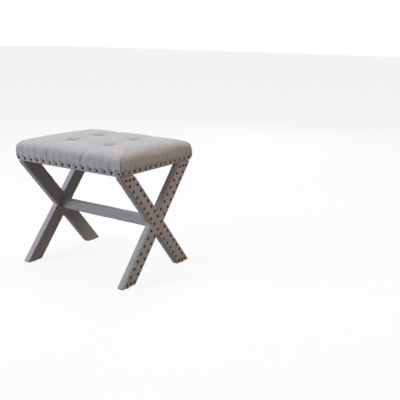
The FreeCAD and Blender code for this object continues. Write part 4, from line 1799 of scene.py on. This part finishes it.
@dataclass
class Studio:
    """The floor, the lights and the camera."""

    azimuth: float = math.radians(33.05)
    elevation: float = math.radians(14.59)
    roll: float = math.radians(1.09)
    distance: float = 2.2301
    aside: float = 0.3333
    above: float = 0.0415
    aim: Colour = (0.0, 0.0, 0.185)
    focal_pixels: float = 628.1
    picture: float = 400.0
    sensor: float = 36.0
    floor_whiteness: float = 0.88
    floor_lit: Colour = (0.94, 0.94, 0.94)
    floor_bounce: Colour = (0.27, 0.237, 0.222)
    air: Colour = (0.158, 0.125, 0.117)
    lamps: tuple[Lamp, ...] = (
        Lamp("key", (-1.9, -2.35, 2.05), 1.6, 86.0, (0.73, 0.85, 1.0)),
        Lamp("overhead", (-0.3, 0.5, 3.2), 1.8, 39.0, (0.88, 0.92, 1.0)),
        Lamp("warm_end", (2.35, 0.55, 2.15), 1.2, 24.5, (1.0, 0.81, 0.69)),
        Lamp("behind", (-0.9, 3.2, 1.8), 1.4, 30.0, (0.94, 0.97, 1.0)),
    )

    def _camera(self) -> None:
        """Puts the camera where the picture was taken from."""
        a, e = self.azimuth, self.elevation
        back = Vector((math.sin(a) * math.cos(e), -math.cos(a) * math.cos(e), math.sin(e)))
        level = Vector((0, 0, 1)).cross(back).normalized()
        upward = back.cross(level)
        right = math.cos(self.roll) * level + math.sin(self.roll) * upward
        up = math.cos(self.roll) * upward - math.sin(self.roll) * level
        place = back * self.distance + right * self.aside + up * self.above + Vector(self.aim)
        lens = bpy.data.cameras.new("camera")
        lens.lens = self.focal_pixels / self.picture * self.sensor
        lens.sensor_width = self.sensor
        camera = bpy.data.objects.new("camera", lens)
        bpy.context.scene.collection.objects.link(camera)
        turned = Matrix((right, up, back)).transposed().to_4x4()
        camera.matrix_world = Matrix.Translation(place) @ turned
        bpy.context.scene.camera = camera

    @staticmethod
    def _seen(graph: Graph) -> Wire:
        """1 where the eye, a shiny surface or a clear one looks straight at it.

        Args:
            graph: The nodes that it is for.

        Returns:
            1 or 0.
        """
        path = graph.add("ShaderNodeLightPath")
        seen = graph.out(path, "Is Camera Ray") + graph.out(path, "Is Glossy Ray")
        seen = seen + graph.out(path, "Is Transmission Ray")
        node = graph.add("ShaderNodeMath", {"operation": "MINIMUM"}, {0: seen, 1: 1.0})
        return graph.out(node)

    def _floor(self) -> None:
        """Lays a wide pale floor that keeps the stool's shadow."""
        bpy.ops.object.select_all(action="DESELECT")
        bpy.ops.mesh.primitive_plane_add(size=60, location=(0, 0, -0.0005))
        floor = named("floor")
        graph = Graph(bpy.data.materials.new("pale_floor"))
        seen = self._seen(graph)
        colour = graph.mix(seen, self.floor_bounce, self.floor_lit)
        matt = graph.add("ShaderNodeBsdfDiffuse", None, {"Color": colour})
        glow = graph.add("ShaderNodeEmission", None, {"Color": (1, 1, 1, 1), "Strength": 1.0})
        share = seen * self.floor_whiteness
        both = graph.add("ShaderNodeMixShader", None, {0: share, 1: graph.out(matt), 2: graph.out(glow)})
        graph.add("ShaderNodeOutputMaterial", None, {"Surface": graph.out(both)})
        floor.data.materials.append(graph.owner)

    def _air(self) -> None:
        """Makes the room's even light, white where it is looked at."""
        world = bpy.data.worlds.new("studio_air")
        bpy.context.scene.world = world
        graph = Graph(world)
        dim = graph.add("ShaderNodeBackground", None, {"Color": (*self.air, 1), "Strength": 1.0})
        white = graph.add("ShaderNodeBackground", None, {"Color": (1, 1, 1, 1), "Strength": 1.0})
        mixed = graph.add(
            "ShaderNodeMixShader", None, {0: self._seen(graph), 1: graph.out(dim), 2: graph.out(white)}
        )
        graph.add("ShaderNodeOutputWorld", None, {"Surface": graph.out(mixed)})

    def build(self) -> None:
        """Sets up the studio."""
        self._camera()
        self._floor()
        self._air()
        for lamp in self.lamps:
            lamp.hang()
        bpy.context.scene.view_settings.view_transform = "Standard"
        LOG.info("studio set up")


def main() -> None:
    """Builds the stool's looks, piece by piece, and the studio."""
    logging.basicConfig(level=logging.INFO, format="%(name)s: %(message)s")
    linen = Linen().material()
    brass = AntiqueBrass().material()
    steel = ZincSteel().material()
    foam = FineCloth("foam", (0.76, 0.70, 0.52), (0.62, 0.55, 0.38), 700.0, 0.3 * MM).material()
    wadding = FineCloth("wadding", (0.82, 0.82, 0.80), (0.66, 0.66, 0.64), 420.0, 0.5 * MM).material()
    under = FineCloth("under_cloth", (0.030, 0.030, 0.032), (0.012, 0.012, 0.013), 1300.0, 0.1 * MM)
    SeatCloth(linen).build()
    SeatFilling(foam, wadding).build()
    TuftButtons(linen).build()
    for side in (Side.RIGHT, Side.LEFT):
        EndFrame(side, linen).build()
    BarCloth(linen).build()
    UnderSheet(under.material(), steel).build()
    nails = Nailheads(brass)
    for seed, side in enumerate(Side):
        nails.build(f"{side.word}_seat_nails", side, f"{side.word}_seat_nailheads", seed)
    for seed, side in enumerate((Side.RIGHT, Side.LEFT)):
        nails.build(f"{side.word}_frame_nails", side, f"{side.word}_frame_nailheads", 10 + seed)
    BareParts(steel).build()
    Studio().build()


if __name__ == "__main__":
    main()
